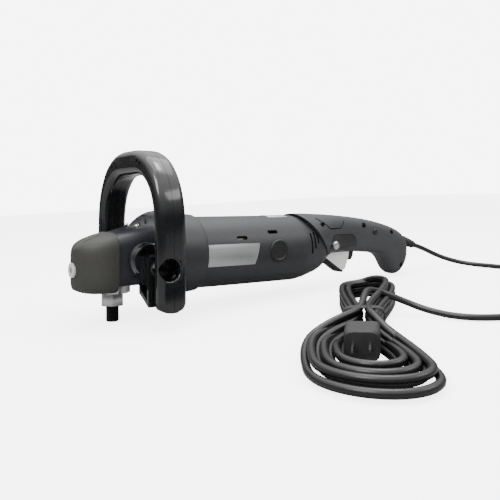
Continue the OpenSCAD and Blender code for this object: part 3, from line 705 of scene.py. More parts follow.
def wrapped_plate(name, radius, thick, low, high, left, right, slant, steps=18):
    """A plate bent round the barrel between two angles; its right edge can slant."""
    rings = []
    for i in range(steps + 1):
        a = math.radians(low + (high - low) * i / steps)
        end = right + slant * i / steps
        ring = []
        for x, r in ((left, radius), (left, radius + thick - 0.15), (left + 0.3, radius + thick),
                     (end - 0.3, radius + thick), (end, radius + thick - 0.15), (end, radius)):
            ring.append(Vector((x, -r * math.cos(a), AXIS_Z + r * math.sin(a))))
        rings.append(ring)
    return finish_mesh(name, loft(rings), plate_metal)


nameplate = wrapped_plate("side_nameplate", 40.9, 0.6, -19.5, 14.5, 94, 157, 6)
settle(nameplate, "tool", "printed_aluminium", "nameplate")
rating = wrapped_plate("top_plate", 40.6, 0.95, 70, 110, 195.3, 224.7, 0)
settle(rating, "tool", "printed_aluminium", "rating_plate")

caps = bmesh.new()
cap_profile = rounded([(37.5, 13.4), (41.7, 13.4), (42.4, 12.5), (42.4, 10), (41.8, 9.4), (41.8, 0.1)], 0.4)
for side in (-1, 1):
    part = loft(lathe(cap_profile, 64, "z"))
    part.transform(Matrix.Translation((190.6, 0, AXIS_Z)) @ Matrix.Rotation(math.radians(-90 * side), 4,
                                                                            "X"))
    scratch = bpy.data.meshes.new("scratch")
    part.to_mesh(scratch)
    caps.from_mesh(scratch)
    part.free()
    bpy.data.meshes.remove(scratch)
brush_caps = finish_mesh("slotted_brush_caps", caps, trim_abs)
coin_slots = [finish_mesh("well", loft(slab(round_outline(
    [(184, 67), (197.2, 67), (197.2, 69), (184, 69)], 0.6), y, y + 4)), trim_abs) for y in (-44.6, 40.6)]
settle(cut(brush_caps, *coin_slots), "tool", "grey_nylon", "brush_caps")

# %% [markdown]
# The D-handle is two glossy clamshells. One arch is lofted through rounded sections, from the foot of one
# leg over the top to the other, then split down its middle with a hair of a gap. Each foot is rounded off
# like the end of a spoon, and a round key hole goes through both legs.

# %% D-handle
OUTER = [(83, 17), (83, 40), (83, 68), (82.6, 92), (81.8, 110), (79.2, 126), (74, 141), (66, 154),
         (55, 165.5),
         (42, 173.5), (27, 178.4), (12, 180), (0, 180)]
INNER = [(66, 17), (66, 40), (66, 66), (66, 88), (65.6, 103), (63.6, 115), (59.4, 127), (52.8, 137.4),
         (44, 145.6),
         (34, 151.4), (22, 154), (10, 154.4), (0, 154.4)]


def along(table, t):
    """A point at t, from 0 to 1, on a smooth line through the table's points."""
    xs = [(i / (len(table) - 1), p[0]) for i, p in enumerate(table)]
    zs = [(i / (len(table) - 1), p[1]) for i, p in enumerate(table)]
    return Vector((curve_value(xs, t), curve_value(zs, t)))


def bar_section(outer, inner, x_mid, half_x, radius, steps=6):
    """A rounded rectangle from an outer to an inner point of the arch and across the tool's length."""
    middle, reach = (outer + inner) / 2, (outer - inner) / 2
    half_w = reach.length
    unit = reach / half_w
    r = min(radius, half_w - 0.1, half_x - 0.1)
    ring = []
    for sx, sw, start in ((1, 1, 0), (-1, 1, 90), (-1, -1, 180), (1, -1, 270)):
        for i in range(steps + 1):
            a = math.radians(start + 90 * i / steps)
            u, w = sx * (half_x - r) + r * math.cos(a), sw * (half_w - r) + r * math.sin(a)
            p = middle + unit * w
            ring.append(Vector((x_mid + u, p.x, p.y)))
    return ring


def arch():
    """The whole handle as one closed form."""
    half = []
    for i in range(97):
        t = i / 96
        outer, inner = along(OUTER, t), along(INNER, t)
        rise = (outer.y + inner.y) / 2 - 17
        foot = min(1.0, rise / 11)
        half_x = 15.4 - 9.0 * (1 - math.sqrt(max(0.0, 1 - (1 - foot) ** 2)))
        half.append(bar_section(outer, inner, 29.5, half_x, 6.4 + 1.6 * min(1, i / 48)))
    far = [[Vector((p.x, -p.y, p.z)) for p in ring] for ring in half]
    return loft([[ring[(len(ring) - 1 - k)] for k in range(len(ring))] for ring in far] +
                [list(reversed(ring)) for ring in reversed(half[:-1])])


for place, front in (((29.35, 0, 0), True), ((29.65, 0, 0), False)):
    normal = Vector((1, 0, 0)) if front else Vector((-1, 0, 0))
    shell = finish_mesh("clamshell_front" if front else "clamshell_rear",
                        halve(arch(), Vector(place), normal),
                        gloss_abs, sharp=50)
    holes = []
    for side in (-1, 1):
        turned = (STAND @ Matrix.Translation((25.5, 0, 59)) @ Matrix.Rotation(math.radians(-90 * side), 4,
                                                                              "X"))
        holes.append(finish_mesh("well", loft(lathe([(60, 13.4), (65.4, 13.4), (66.8, 11), (82.2, 11),
                                                     (83.6, 12.2),
                                                     (90, 12.2)], 64, "z")), gloss_abs, turned))
    if front:
        for z in (163.2, 172.0):
            grip_line = round_outline([(-26, z), (26, z), (26, z + 1.5), (-26, z + 1.5)], 0.6)
            rings = [[Vector((x, y, w)) for y, w in grip_line] for x in (12, 14.9)]
            holes.append(finish_mesh("well", loft(rings), gloss_abs))
        for y in (-36, -29.4, 29.4, 36):
            dot = loft(lathe([(12, 1.7), (15.6, 1.7)], 24))
            dot.transform(Matrix.Translation((0, y, 168 - AXIS_Z - (3.2 if abs(y) > 33 else 0))))
            holes.append(finish_mesh("well", dot, gloss_abs))
    cut(shell, *holes)
    shell.data.shade_smooth()
    shell.data.set_sharp_from_angle(angle=math.radians(50))
    settle(shell, "d_handle", "black_nylon", "d_handle_front" if front else "d_handle_rear")
print("D-handle:", len(shell.data.polygons), "faces in the rear shell")

# %% [markdown]
# The grip is one loft too: a row of sections whose top runs almost level and whose underside swells into
# the hook at the tail. It is drawn whole and cut along the slanting seam. Then it is divided at the
# middle into a left and a right shell, as it is moulded.

# %% Rear grip
GRIP_TOP = [(236, 111), (252, 111.2), (280, 110.4), (305, 109), (340, 106), (371, 102), (407, 94.4),
            (430, 87),
            (440, 80.5), (446, 74), (450, 68), (451.5, 62)]
GRIP_LOW = [(236, 26), (250, 29.5), (262, 35), (274, 43), (285, 50.5), (293, 55), (302, 57.4), (320, 58.2),
            (345, 58),
            (366, 56.6), (382, 55), (394, 52), (402, 47), (408, 41), (412, 34.5), (416, 28), (421, 23.8),
            (427, 22.4), (433, 24), (439, 29), (444, 36), (448, 45), (451, 54), (452, 59)]
GRIP_HALF = [(236, 42.2), (246, 40.8), (256, 38.4), (266, 35.6), (276, 32.2), (286, 28.8), (296, 25.6),
             (308, 22.6),
             (322, 20.6), (340, 19.2), (370, 18.5), (420, 18.5), (434, 17.8), (443, 15.6), (449, 11.4),
             (452, 5)]


def grip_form(grow=0.0, from_x=236):
    """The grip's whole form, grown or shrunk all round."""
    rings = []
    stations = list(np.arange(from_x, 440, 3.0)) + [440, 442, 444, 446, 447.5, 449, 450, 450.9, 451.5, 452]
    for x in stations:
        low, high, half = curve_value(GRIP_LOW, x), curve_value(GRIP_TOP, x), curve_value(GRIP_HALF, x)
        power = 2.25 + 0.65 * min(1, max(0, (x - 250) / 60))
        edge = max(0.0, x - 446) / 6
        power += (2.0 - power) * 0.5 * edge
        rings.append(section(x, half + grow, low - grow, high + grow, power, 96))
    return loft(rings)


def keep(target, tool):
    """Keeps only what lies inside the tool."""
    change = target.modifiers.new("keep", "BOOLEAN")
    change.object, change.operation, change.solver = tool, "INTERSECT", "EXACT"
    plain(target)
    bpy.data.objects.remove(tool)
    return target


ARCH = round_outline([(282, 54), (282.5, 66), (286, 78.5), (293, 83.6), (331, 83.2), (338.5, 78), (342, 66),
                      (344, 54)],
                     5, 5)
V_GROOVE = [(262, 105), (271, 100), (281.5, 92.2), (284.5, 91.2), (304, 91.2), (307.5, 92), (314, 98.5),
            (322, 106)]


def ribbon(points, width):
    """A closed outline round a line of (x, z) points."""
    left, right = [], []
    for i, p in enumerate(points):
        a, b = Vector(points[max(i - 1, 0)]), Vector(points[min(i + 1, len(points) - 1)])
        side = (b - a).normalized().orthogonal() * (width / 2)
        left.append(tuple(Vector(p) + side))
        right.append(tuple(Vector(p) - side))
    return left + right[::-1]


for side, title, node in ((1, "left", "handle_shell_left"), (-1, "right", "handle_shell_right")):
    form = halve(grip_form(), seam_point + 0.35 * seam_normal, -seam_normal)
    form = halve(form, Vector((0, 0.12 * side, 0)), Vector((0, -side, 0)))
    shell = finish_mesh(f"grip_shell_{title}", form, grip_nylon)
    inner, outer = sorted((side * 17.4, side * 60))
    wells = [finish_mesh("well", loft(slab(ARCH, inner, outer)), trim_abs)]
    groove_in, groove_out = sorted((side * 17.2, side * 60))
    wells.append(finish_mesh("well", loft(slab(ribbon(V_GROOVE, 1.5), groove_in, groove_out)), trim_abs))
    for x, z in ((268, 98), (355, 94), (412, 84), (432, 36)) if side < 0 else ():
        y_in = -(curve_value(GRIP_HALF, x) - 4)
        bore = loft(lathe([(-y_in, 4.2), (60, 4.2)], 32, "z"))
        bore.transform(Matrix.Translation((x, 0, z)) @ Matrix.Rotation(math.radians(90), 4, "X"))
        wells.append(finish_mesh("well", bore, trim_abs))
    wells.append(finish_mesh("well", loft(slab(round_outline(
        [(283, 40), (346, 40), (346, 66), (283, 66)], 2), *sorted((0, side * 8.6)))), trim_abs))
    wells.append(finish_mesh("well", loft(slab(
        [(441.5 + 12.2 * math.cos(a), 47 + 12.2 * math.sin(a)) for a in np.linspace(0, 2 * math.pi, 48,
                                                                                    endpoint=False)],
        *sorted((0, side * 4.9)))), trim_abs))
    cut(shell, *wells)
    settle(shell, "tool", "grip_nylon", node)

# %% [markdown]
# On each side an arched insert of satin black frames the trigger. It is the same arch as its recess, kept
# where it lies inside a slightly larger grip, so its face follows the hand's curve and stands a little
# proud.

# %% Trigger inserts and the pivot
INSERT = round_outline([(282.4, 58.6), (282.9, 66), (286.3, 78.2), (293.2, 83.2), (330.8, 82.8),
                        (338.1, 77.8),
                        (341.6, 66), (342.6, 58.6)], 5, 5)
for side, title in ((1, "far"), (-1, "near")):
    insert = finish_mesh(f"trigger_insert_{title}", loft(slab(INSERT, *sorted((side * 17.6, side * 60)))),
                         trim_abs)
    grown = finish_mesh("well", grip_form(0.25), trim_abs)
    keep(insert, grown)
    soften(insert, 0.5, 2)
    settle(insert, "tool", "black_nylon", *(("trigger_bezel",) if side < 0 else ()))
pivot_profile = rounded([(24, 3), (31.4, 3), (31.4, 5.4), (32.6, 5.0), (33.3, 3.2), (33.3, 1.9),
                         (32.2, 1.6), (32.2, 0.1)],
                        0.3)
for side, title in ((1, "far"), (-1, "near")):
    head = loft(lathe(pivot_profile, 48, "z"))
    head.transform(Matrix.Translation((290, 0, 70)) @ Matrix.Rotation(math.radians(-90 * side), 4, "X"))
    settle(finish_mesh(f"pivot_head_{title}", head, zinc_steel), "tool", "zinc_steel",
           *(("trigger_pivot",) if side < 0 else ()))

# %% [markdown]
# The trigger hangs between the inserts: a silver paddle with a ribbed rubber front. Behind it hangs the
# small lever that keeps it from being pulled by chance, and on the near side the button that holds it on.

# %% Trigger, lever, button and speed dial
TRIGGER = [(284.6, 66), (284.4, 58.2), (296, 50.6), (308, 43), (319.6, 35.4), (324.6, 33.4), (328.6, 35),
           (331.6, 40.4), (334.8, 49), (337, 58), (336.4, 65), (330, 69), (300, 74), (290, 75.4)]
trigger = soften(finish_mesh("trigger_paddle", loft(slab(round_outline(TRIGGER, 3.5), -7.6, 7.6)),
                             trigger_abs), 1.3, 3)
settle(trigger, "trigger", "light_plastic", "trigger")
lever = soften(finish_mesh("lock_off_lever", loft(slab(round_outline(
    [(341.2, 62), (341.2, 50.4), (338.8, 46.9), (343.8, 47.2), (347.3, 52.2), (348.6, 61.8), (345, 65.4)],
    1.4),
    -3.8, 3.8)), trim_abs), 0.6, 2)
settle(lever, "lock_lever", "black_nylon", "lock_lever")
button = loft(lathe(rounded([(12, 3.6), (19.7, 3.9), (20.3, 3.2), (20.3, 0.1)], 0.5), 40, "z"))
button.transform(Matrix.Translation((375.5, 0, 85)) @ Matrix.Rotation(math.radians(90), 4, "X"))
settle(finish_mesh("lock_on_push", button, trim_abs), "lock_on_button", "black_nylon", "lock_on_button")
print("grip shells:", len(shell.data.polygons), "faces each")

# %% [markdown]
# What repeats is made by Geometry Nodes: the thread, the screws, the ribs of the trigger, the teeth of
# the speed dial and the collars of the strain relief. One helper builds a node group from a short recipe,
# sets its named inputs and bakes the result to a plain mesh, so no modifier is left behind.

# %% Geometry Nodes helpers
def node_group(name, **inputs):
    """A new geometry group with named inputs; returns the tree and its input node."""
    tree = bpy.data.node_groups.new(name, "GeometryNodeTree")
    tree.interface.new_socket("Geometry", in_out="OUTPUT", socket_type="NodeSocketGeometry")
    for key, (kind, value) in inputs.items():
        socket = tree.interface.new_socket(key.replace("_", " "), in_out="INPUT",
                                           socket_type=f"NodeSocket{kind}")
        if kind != "Material":
            socket.default_value = value
    return tree, tree.nodes.new("NodeGroupInput")


def finish_group(tree, geometry, material_socket):
    """Ends a group: instances become real and take the finish."""
    real = add(tree, "GeometryNodeRealizeInstances", {"Geometry": geometry})
    dressed = add(tree, "GeometryNodeSetMaterial", {"Geometry": real.outputs[0],
                                                    "Material": material_socket})
    add(tree, "NodeGroupOutput", {"Geometry": dressed.outputs[0]})


def grow_mesh(name, tree, turn, values, sharp=35):
    """Runs a group once and returns its result as a plain mesh at the origin."""
    host = bpy.data.objects.new(name, bpy.data.meshes.new(name))
    bpy.context.scene.collection.objects.link(host)
    run = host.modifiers.new("grow", "NODES")
    run.node_group = tree
    for item in tree.interface.items_tree:
        if item.item_type == "SOCKET" and item.in_out == "INPUT" and item.name in values:
            run[item.identifier] = values[item.name]
    mesh = bpy.data.meshes.new_from_object(host.evaluated_get(bpy.context.evaluated_depsgraph_get()))
    host.modifiers.clear()
    mesh.transform(turn)
    host.data = mesh
    mesh.shade_smooth()
    mesh.set_sharp_from_angle(angle=math.radians(sharp))
    return host


def math_node(tree, operation, a, b):
    """A math node on two values or sockets."""
    made = add(tree, "ShaderNodeMath", operation=operation)
    for slot, value in zip(made.inputs, (a, b)):
        if isinstance(value, (int, float)):
            slot.default_value = value
        else:
            tree.links.new(value, slot)
    return made.outputs[0]


# %% [markdown]
# A screw thread is a tube of profile points swept up a helix. Here a finely divided cylinder is moved
# instead: each point's radius follows a triangle wave of its height and its angle, so the flanks wind up
# the spindle and run out at both ends.

# %% Thread of the spindle
thread_tree, gin = node_group("screw_thread", Radius=("Float", 7.0), Pitch=("Float", 2.0),
                              Depth=("Float", 1.1),
                              Length=("Float", 17.0), Finish=("Material", None))
blank = add(thread_tree, "GeometryNodeMeshCylinder", {"Radius": gin.outputs["Radius"],
                                                      "Depth": gin.outputs["Length"]}, Vertices=96)
blank.inputs["Side Segments"].default_value = 136
place = add(thread_tree, "GeometryNodeInputPosition").outputs[0]
parts = add(thread_tree, "ShaderNodeSeparateXYZ", {"Vector": place})
angle = math_node(thread_tree, "ARCTAN2", parts.outputs["Y"], parts.outputs["X"])
turns = math_node(thread_tree, "DIVIDE", angle, 2 * math.pi)
climb = math_node(thread_tree, "DIVIDE", parts.outputs["Z"], gin.outputs["Pitch"])
wave = math_node(thread_tree, "PINGPONG", math_node(thread_tree, "SUBTRACT", climb, turns), 0.5)
crest = math_node(thread_tree, "MINIMUM", math_node(thread_tree, "MULTIPLY", wave, 2.5), 1.0)
half_length = math_node(thread_tree, "MULTIPLY", gin.outputs["Length"], 0.5)
to_end = math_node(thread_tree, "SUBTRACT", half_length, math_node(thread_tree, "ABSOLUTE",
                                                                   parts.outputs["Z"], 0))
lead_in = math_node(thread_tree, "SUBTRACT", 1.0, math_node(thread_tree, "MULTIPLY", to_end, 0.8))
root = math_node(thread_tree, "MAXIMUM", math_node(thread_tree, "SUBTRACT", 1.0, crest), lead_in)
sunk = math_node(thread_tree, "MULTIPLY", root, gin.outputs["Depth"])
shrink = math_node(thread_tree, "SUBTRACT", 1.0, math_node(thread_tree, "DIVIDE", sunk,
                                                           gin.outputs["Radius"]))
flat = add(thread_tree, "ShaderNodeCombineXYZ", {"X": shrink, "Y": shrink}, Z=1.0)
moved = add(thread_tree, "ShaderNodeVectorMath", {0: place, 1: flat.outputs[0]}, operation="MULTIPLY")
set_place = add(thread_tree, "GeometryNodeSetPosition", {"Geometry": blank.outputs["Mesh"],
                                                         "Position": moved.outputs[0]})
finish_group(thread_tree, set_place.outputs[0], gin.outputs["Finish"])
thread = grow_mesh("spindle_thread", thread_tree, STAND @ Matrix.Translation((0, 0, 8.55)),
                   {"Radius": 6.98, "Finish": black_steel}, 60)
settle(thread, "spindle", "blackened_steel")

flats = 22.0                 # spanner size
TURN = math.radians(7.8)     # where the hexagon happens to stop
rows = []
for z, tuck in ((16.6, 1.4), (17.3, 0), (28.4, 0), (29.1, 1.4)):
    reach = (flats / 2 - tuck * 0.5) / math.cos(math.pi / 6)
    turns = [math.pi / 3 * i + TURN for i in range(6)]
    rows.append([Vector((reach * math.cos(a), reach * math.sin(a), z)) for a in turns])
hexagon = soften(finish_mesh("spindle_hex", loft(rows), zinc_steel, sharp=25), 0.35, 2, 30)
settle(hexagon, "spindle", "blackened_steel")
shaft = finish_mesh("spindle_shaft", loft(lathe(rounded(
    [(29.0, 9.6), (30.6, 9.6), (31.2, 7.5), (50, 7.5), (50, 6), (87, 6)], 0.3), 64, "z")), ground_steel)
settle(shaft, "spindle", "steel", "spindle")

# %% [markdown]
# A screw is a short node recipe as well: a head from a cylinder with a cross-shaped socket sunk into it.
# The group puts one at every point it is given, and turns it to the point's own axis.

# %% Screws
screw_tree, gin = node_group("screws", Radius=("Float", 3.2), Height=("Float", 1.6), Drive=("Float", 0.5),
                             Places=("Object", None), Finish=("Material", None))
spots = add(screw_tree, "GeometryNodeObjectInfo", {"Object": gin.outputs["Places"]})
dome = add(screw_tree, "GeometryNodeMeshUVSphere", {"Radius": gin.outputs["Radius"]}, Segments=32, Rings=16)
squash = math_node(screw_tree, "DIVIDE", gin.outputs["Height"], gin.outputs["Radius"])
pressed = add(screw_tree, "ShaderNodeCombineXYZ", {"Z": squash}, X=1.0, Y=1.0)
head_shape = add(screw_tree, "GeometryNodeTransform", {"Geometry": dome.outputs["Mesh"],
                                                       "Scale": pressed.outputs[0]})
arm = math_node(screw_tree, "MULTIPLY", gin.outputs["Radius"], 1.15)
blade = math_node(screw_tree, "MULTIPLY", gin.outputs["Radius"], 0.26)
sockets = []
for first, second in ((arm, blade), (blade, arm)):
    size = add(screw_tree, "ShaderNodeCombineXYZ", {"X": first, "Y": second, "Z": gin.outputs["Height"]})
    cube = add(screw_tree, "GeometryNodeMeshCube", {"Size": size.outputs[0]})
    lift = add(screw_tree, "ShaderNodeCombineXYZ", {"Z": math_node(
        screw_tree, "SUBTRACT", math_node(screw_tree, "MULTIPLY", gin.outputs["Height"], 1.5),
        gin.outputs["Drive"])})
    sockets.append(add(screw_tree, "GeometryNodeTransform", {"Geometry": cube.outputs["Mesh"],
                                                             "Translation": lift.outputs[0]}).outputs[0])
carve = add(screw_tree, "GeometryNodeMeshBoolean", {"Mesh 1": head_shape.outputs[0]}, operation="DIFFERENCE")
for socket in sockets:
    screw_tree.links.new(socket, carve.inputs["Mesh 2"])
way = add(screw_tree, "GeometryNodeInputNormal")
aim = add(screw_tree, "FunctionNodeAlignRotationToVector", {"Vector": way.outputs[0]}, axis="Z")
planted = add(screw_tree, "GeometryNodeInstanceOnPoints", {
    "Points": spots.outputs["Geometry"], "Instance": carve.outputs["Mesh"], "Rotation": aim.outputs[0]})
finish_group(screw_tree, planted.outputs[0], gin.outputs["Finish"])


def screws(name, places, radius, height, drive, material):
    """Screw heads at (x, y, z) places of the tool frame, each looking along its own direction."""
    seats = bmesh.new()
    for spot, way_out in places:
        spot, way_out = Vector(spot), Vector(way_out).normalized()
        u = way_out.orthogonal().normalized() * 0.0001
        v = way_out.cross(u.normalized()) * 0.0001
        corner = [seats.verts.new(spot + d) for d in (u, v, -u - v)]
        seats.faces.new(corner)
    mesh = bpy.data.meshes.new("seats")
    seats.to_mesh(mesh)
    seats.free()
    host = bpy.data.objects.new("seats", mesh)
    bpy.context.scene.collection.objects.link(host)
    made = grow_mesh(name, screw_tree, STAND, {"Places": host, "Radius": radius, "Height": height,
                                               "Drive": drive, "Finish": material})
    bpy.data.objects.remove(host)
    return made


hood_screws = screws("hood_screw_heads", [((21.5, -13.5, 100.6), (-0.55, -0.3, 0.8)),
                                          ((21.5, 13.5, 100.6), (-0.55, 0.3, 0.8))], 2.6, 1.3, 0.45,
                                          zinc_steel)
settle(hood_screws, "tool", "zinc_steel", "hood_screws")
grip_screws = screws("grip_screw_heads", [
    ((x, -(curve_value(GRIP_HALF, x) - 4.6), z), (0, -1, 0)) for x,
    z in ((268, 98), (355, 94), (412, 84), (432, 36))],
    3.4, 1.6, 0.5, black_steel)
settle(grip_screws, "tool", "zinc_steel", "handle_screws")
loop_screws = screws("handle_screw_heads", [((14.9, y, z), (-1, 0, 0)) for y, z in (
    (-74, 100), (-74, 35), (74, 100), (74, 35))], 2.3, 0.9, 0.4, black_steel)
settle(loop_screws, "d_handle", "blackened_steel", "d_handle_screws")

# %% [markdown]
# Ribs, teeth and collars are rows of one shape along a line or round an axle, so one group makes them
# all: a count, a step and a turn per copy. The rubber on the trigger has ribs across its front, and the
# dial has teeth.

# %% Rows of ribs and teeth
row_tree, gin = node_group("row", Count=("Int", 8), Step=("Vector", (0.003, 0, 0)),
                           Turn=("Vector", (0, 0, 0)),
                           Shape=("Object", None), Finish=("Material", None))
line = add(row_tree, "GeometryNodeMeshLine", {"Count": gin.outputs["Count"], "Offset": gin.outputs["Step"]})
copy = add(row_tree, "GeometryNodeObjectInfo", {"Object": gin.outputs["Shape"]})
number = add(row_tree, "GeometryNodeInputIndex")
spin = add(row_tree, "ShaderNodeVectorMath", {0: gin.outputs["Turn"], 3: number.outputs[0]},
           operation="SCALE")
turned = add(row_tree, "FunctionNodeEulerToRotation", {"Euler": spin.outputs[0]})
laid = add(row_tree, "GeometryNodeInstanceOnPoints", {
    "Points": line.outputs["Mesh"], "Instance": copy.outputs["Geometry"], "Rotation": turned.outputs[0]})
finish_group(row_tree, laid.outputs[0], gin.outputs["Finish"])


def row_of(name, shape, count, step, turn, finish, place):
    """Copies of a mesh in a row; each is a step further and turned once more."""
    made = grow_mesh(name, row_tree, place, {"Shape": shape, "Count": count, "Step": step, "Turn": turn,
                                             "Finish": finish})
    bpy.data.objects.remove(shape)
    return made


pad_from, pad_to = Vector((284.2, 0, 57.6)), Vector((322.6, 0, 33.4))
pad_run = pad_to - pad_from
pad_tip = math.atan2(pad_run.z, pad_run.x)
pad_bm = loft(slab(round_outline([(-1.5, -0.2), (-1.2, -1.7), (pad_run.length + 1.6, -1.7),
                                  (pad_run.length + 3.4, 1.5),
                                  (pad_run.length + 1, 1.2), (0, 1.2)], 0.7), -7.3, 7.3))
pad_place = STAND @ Matrix.Translation(pad_from) @ Matrix.Rotation(-pad_tip, 4, "Y")
pad = soften(finish_mesh("trigger_rubber", pad_bm, ribbed_rubber, pad_place), 0.5, 2)
settle(pad, "trigger", "black_rubber", "trigger_pad")
rib = finish_mesh("rib", loft(slab(round_outline([(-0.9, -2.0), (0.9, -2.0), (1.3, 0.4), (-1.3, 0.4)], 0.6,
                                                 3), -6.9, 6.9)),
                  ribbed_rubber, Matrix.Identity(4))
ribs = row_of("trigger_ribs", rib, 13, (3.3, 0, 0), (0, 0, 0), ribbed_rubber,
              pad_place @ Matrix.Translation((2.6, 0, -0.9)))
settle(ribs, "trigger", "black_rubber")

dial_bm = loft(lathe(rounded([(-3.9, 1.9), (-3.9, 9.9), (3.9, 9.9), (3.9, 1.9)], 0.8), 64, "z"))
dial_place = STAND @ Matrix.Translation((441.5, 0, 47)) @ Matrix.Rotation(math.radians(90), 4, "X")
dial = finish_mesh("dial_wheel", dial_bm, trim_abs, dial_place)
settle(dial, "speed_dial", "black_rubber", "speed_dial")
tooth = finish_mesh("tooth", loft([[Vector((x, y, z)) for x, y in ((9.4, -0.9), (10.7, -0.45), (10.7, 0.45),
                                                                   (9.4, 0.9))]
                                   for z in (-3.6, 3.6)]), trim_abs, Matrix.Identity(4))
teeth = row_of("dial_teeth", tooth, 28, (0, 0, 0), (0, 0, 2 * math.pi / 28), trim_abs, dial_place)
settle(teeth, "speed_dial", "black_rubber")

# %% [markdown]
# The strain relief is a rubber sleeve with collars that grow smaller towards the cord, so the cord can't
# kink where it leaves the grip. The lock button on the nose is a pale plastic cap in a round well.

# %% Strain relief and lock button
RELIEF = STAND @ Matrix.Translation((478, 0, 62)) @ Matrix.Rotation(math.radians(16), 4, "Y")
relief_profile = [(-33.5, 0.2), (-33.5, 6.3)]
for n in range(5):
    start, big = -27.5 + 5.0 * n, 7.3 - 0.4 * n
    relief_profile += [(start, big - 1.6), (start + 0.5, big), (start + 2.6, big), (start + 3.1, big - 1.6)]
relief_profile += [(-0.8, 4.5), (-0.1, 4.1), (-0.1, 3.5)]
relief = finish_mesh("cord_strain_relief", loft(lathe(rounded(relief_profile, 0.5, 3), 64)), ribbed_rubber,
                     RELIEF @ Matrix.Translation((0, 0, -AXIS_Z)), sharp=50)
settle(relief, "tool", "cord_rubber", "strain_relief")
cap = finish_mesh("spindle_lock_cap", loft(lathe(rounded(
    [(-38, 3), (-38, 7.7), (-44.6, 7.7), (-45.0, 6.6), (-44.2, 5.8), (-44.2, 0.1)], 0.6), 64)), button_abs,
    STAND @ Matrix.Translation((0, 0, 56 - AXIS_Z)))
settle(cap, "spindle_lock", "light_plastic", "lock_button")
print("ribs and teeth:", len(ribs.data.polygons) + len(teeth.data.polygons), "faces")

# %% [markdown]
# The hank is held by a strap that wraps the bundle, and the plug rests on its strands. Both follow the
# hank's own frame, so they turn with it. The cord takes its finish here too.

# %% Hank, tie and plug
HANK = Matrix.Translation(TIE * MM) @ HANK_TURN.to_4x4() @ Matrix.Scale(MM, 4)
cord_curve.materials.append(flex_pvc)
strap_rings = []
for i in range(73):
    a = 2 * math.pi * i / 72
    c, s = math.cos(a), math.sin(a)
    reach = (abs(c) ** 5 + abs(s) ** 5) ** (-1 / 5)
    y, z = 17.2 * c * reach, 13.4 + 12.3 * s * reach
    out_y, out_z = 18.7 * c * reach, 13.4 + 13.4 * s * reach
    strap_rings.append([Vector((u, p, max(q, 0.1))) for u, p, q in (
        (-4.6, y, z), (4.6, y, z), (4.9, (y + out_y) / 2, (z + out_z) / 2), (4.4, out_y, out_z),
        (-4.4, out_y, out_z), (-4.9, (y + out_y) / 2, (z + out_z) / 2))])
tie = finish_mesh("hank_strap", loft(strap_rings, caps=False), ribbed_rubber, HANK)
settle(tie, "tool", "cord_rubber", "cord_tie")

plug_rows = []
for u, half_y, half_z, power in (
        (-46, 13.6, 11.6, 8), (-46.6, 13.9, 11.9, 8), (-50, 13.9, 11.9, 7), (-60, 13.9, 11.9, 6),
        (-70, 13.8, 11.8, 6),
        (-76, 13.4, 11.6, 6), (-77.6, 12.2, 10.4, 5), (-78, 9, 8, 4)):
    ring = section(0, half_y, 12.5 - half_z, 12.5 + half_z, power, 64)
    plug_rows.append([Vector((u, p.y, p.z)) for p in ring])
plug = finish_mesh("plug_grip", loft(plug_rows), ribbed_rubber, HANK)
settle(plug, "tool", "cord_rubber", "plug_body")
collar_profile = rounded([(-46.5, 0.2), (-46.5, 9.4), (-40, 8.2), (-39.4, 7), (-37.4, 7), (-37, 8),
                          (-34.6, 7.6),
                          (-34.2, 6.4), (-32.2, 6.2), (-31.8, 7), (-29.6, 6.6), (-28.2, 4.6), (-28.2, 0.2)],
                          0.4)
collar = finish_mesh("plug_collar", loft(lathe(collar_profile, 56)), ribbed_rubber,
                     HANK @ Matrix.Translation((0, 0, 12.5 - AXIS_Z)), sharp=50)
settle(collar, "tool", "cord_rubber")
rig.ride(mains_cord, "tool")
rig.slot(mains_cord, "cord_rubber")
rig.replaces(mains_cord, "cord_lead", "cord_hank")
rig.cord(mains_cord, exit=tuple(Vector(LEAD[0]) * MM), length=CORD_LENGTH, diameter=CORD_D, far_end="plug",
        stiffness="medium", lay="coiled", with_pieces=[plug, collar, tie, frame["nodes"]["plug_blades"]])
print("plug and tie:", len(plug.data.polygons), len(tie.data.polygons), "faces")

# %% [markdown]
# The engineering nodes that stay keep their own meshes and take a real finish. Most are inside: the
# gears, the armature, the brushes and the switch. A few show, such as the handle's clamps, its bolts and
# the plug's blades.

# %% Finish of the kept nodes
FINISHES = {
    zinc_steel: ("bearing_plate", "d_handle_bolts", "d_handle_washers"),
    ground_steel: ("crown_gear", "gear_retainer", "spindle_lower_bearing", "spindle_upper_bearing",
                   "lock_pin",
                   "lock_spring", "armature_shaft", "pinion_gear", "front_motor_bearing",
                   "rear_motor_bearing",
                   "brush_springs"),
    gloss_abs: ("d_handle_brackets",),
    fibre_black: ("cooling_fan", "fan_baffle", "switch_module", "cord_clamp"),
    core_steel: ("armature_core", "field_core"), winding_copper: ("armature_windings", "field_coils"),
    turned_copper: ("commutator",), brass: ("brush_holders",), carbon_block: ("carbon_brushes",),
    circuit_green: ("speed_controller",), button_abs: ("capacitor",), nickel_brass: ("plug_blades",),
}
for finish, names in FINISHES.items():
    for name in names:
        for holder in frame["nodes"][name].material_slots:
            holder.material = finish
print("finished", sum(len(names) for names in FINISHES.values()), "engineering nodes")

# %% [markdown]
# The light is a product shoot's: a white room, a big soft box at the upper left for the highlight on the
# handle's bend, and a strip at the right that draws the edges of the barrel. The floor is plain and pale.

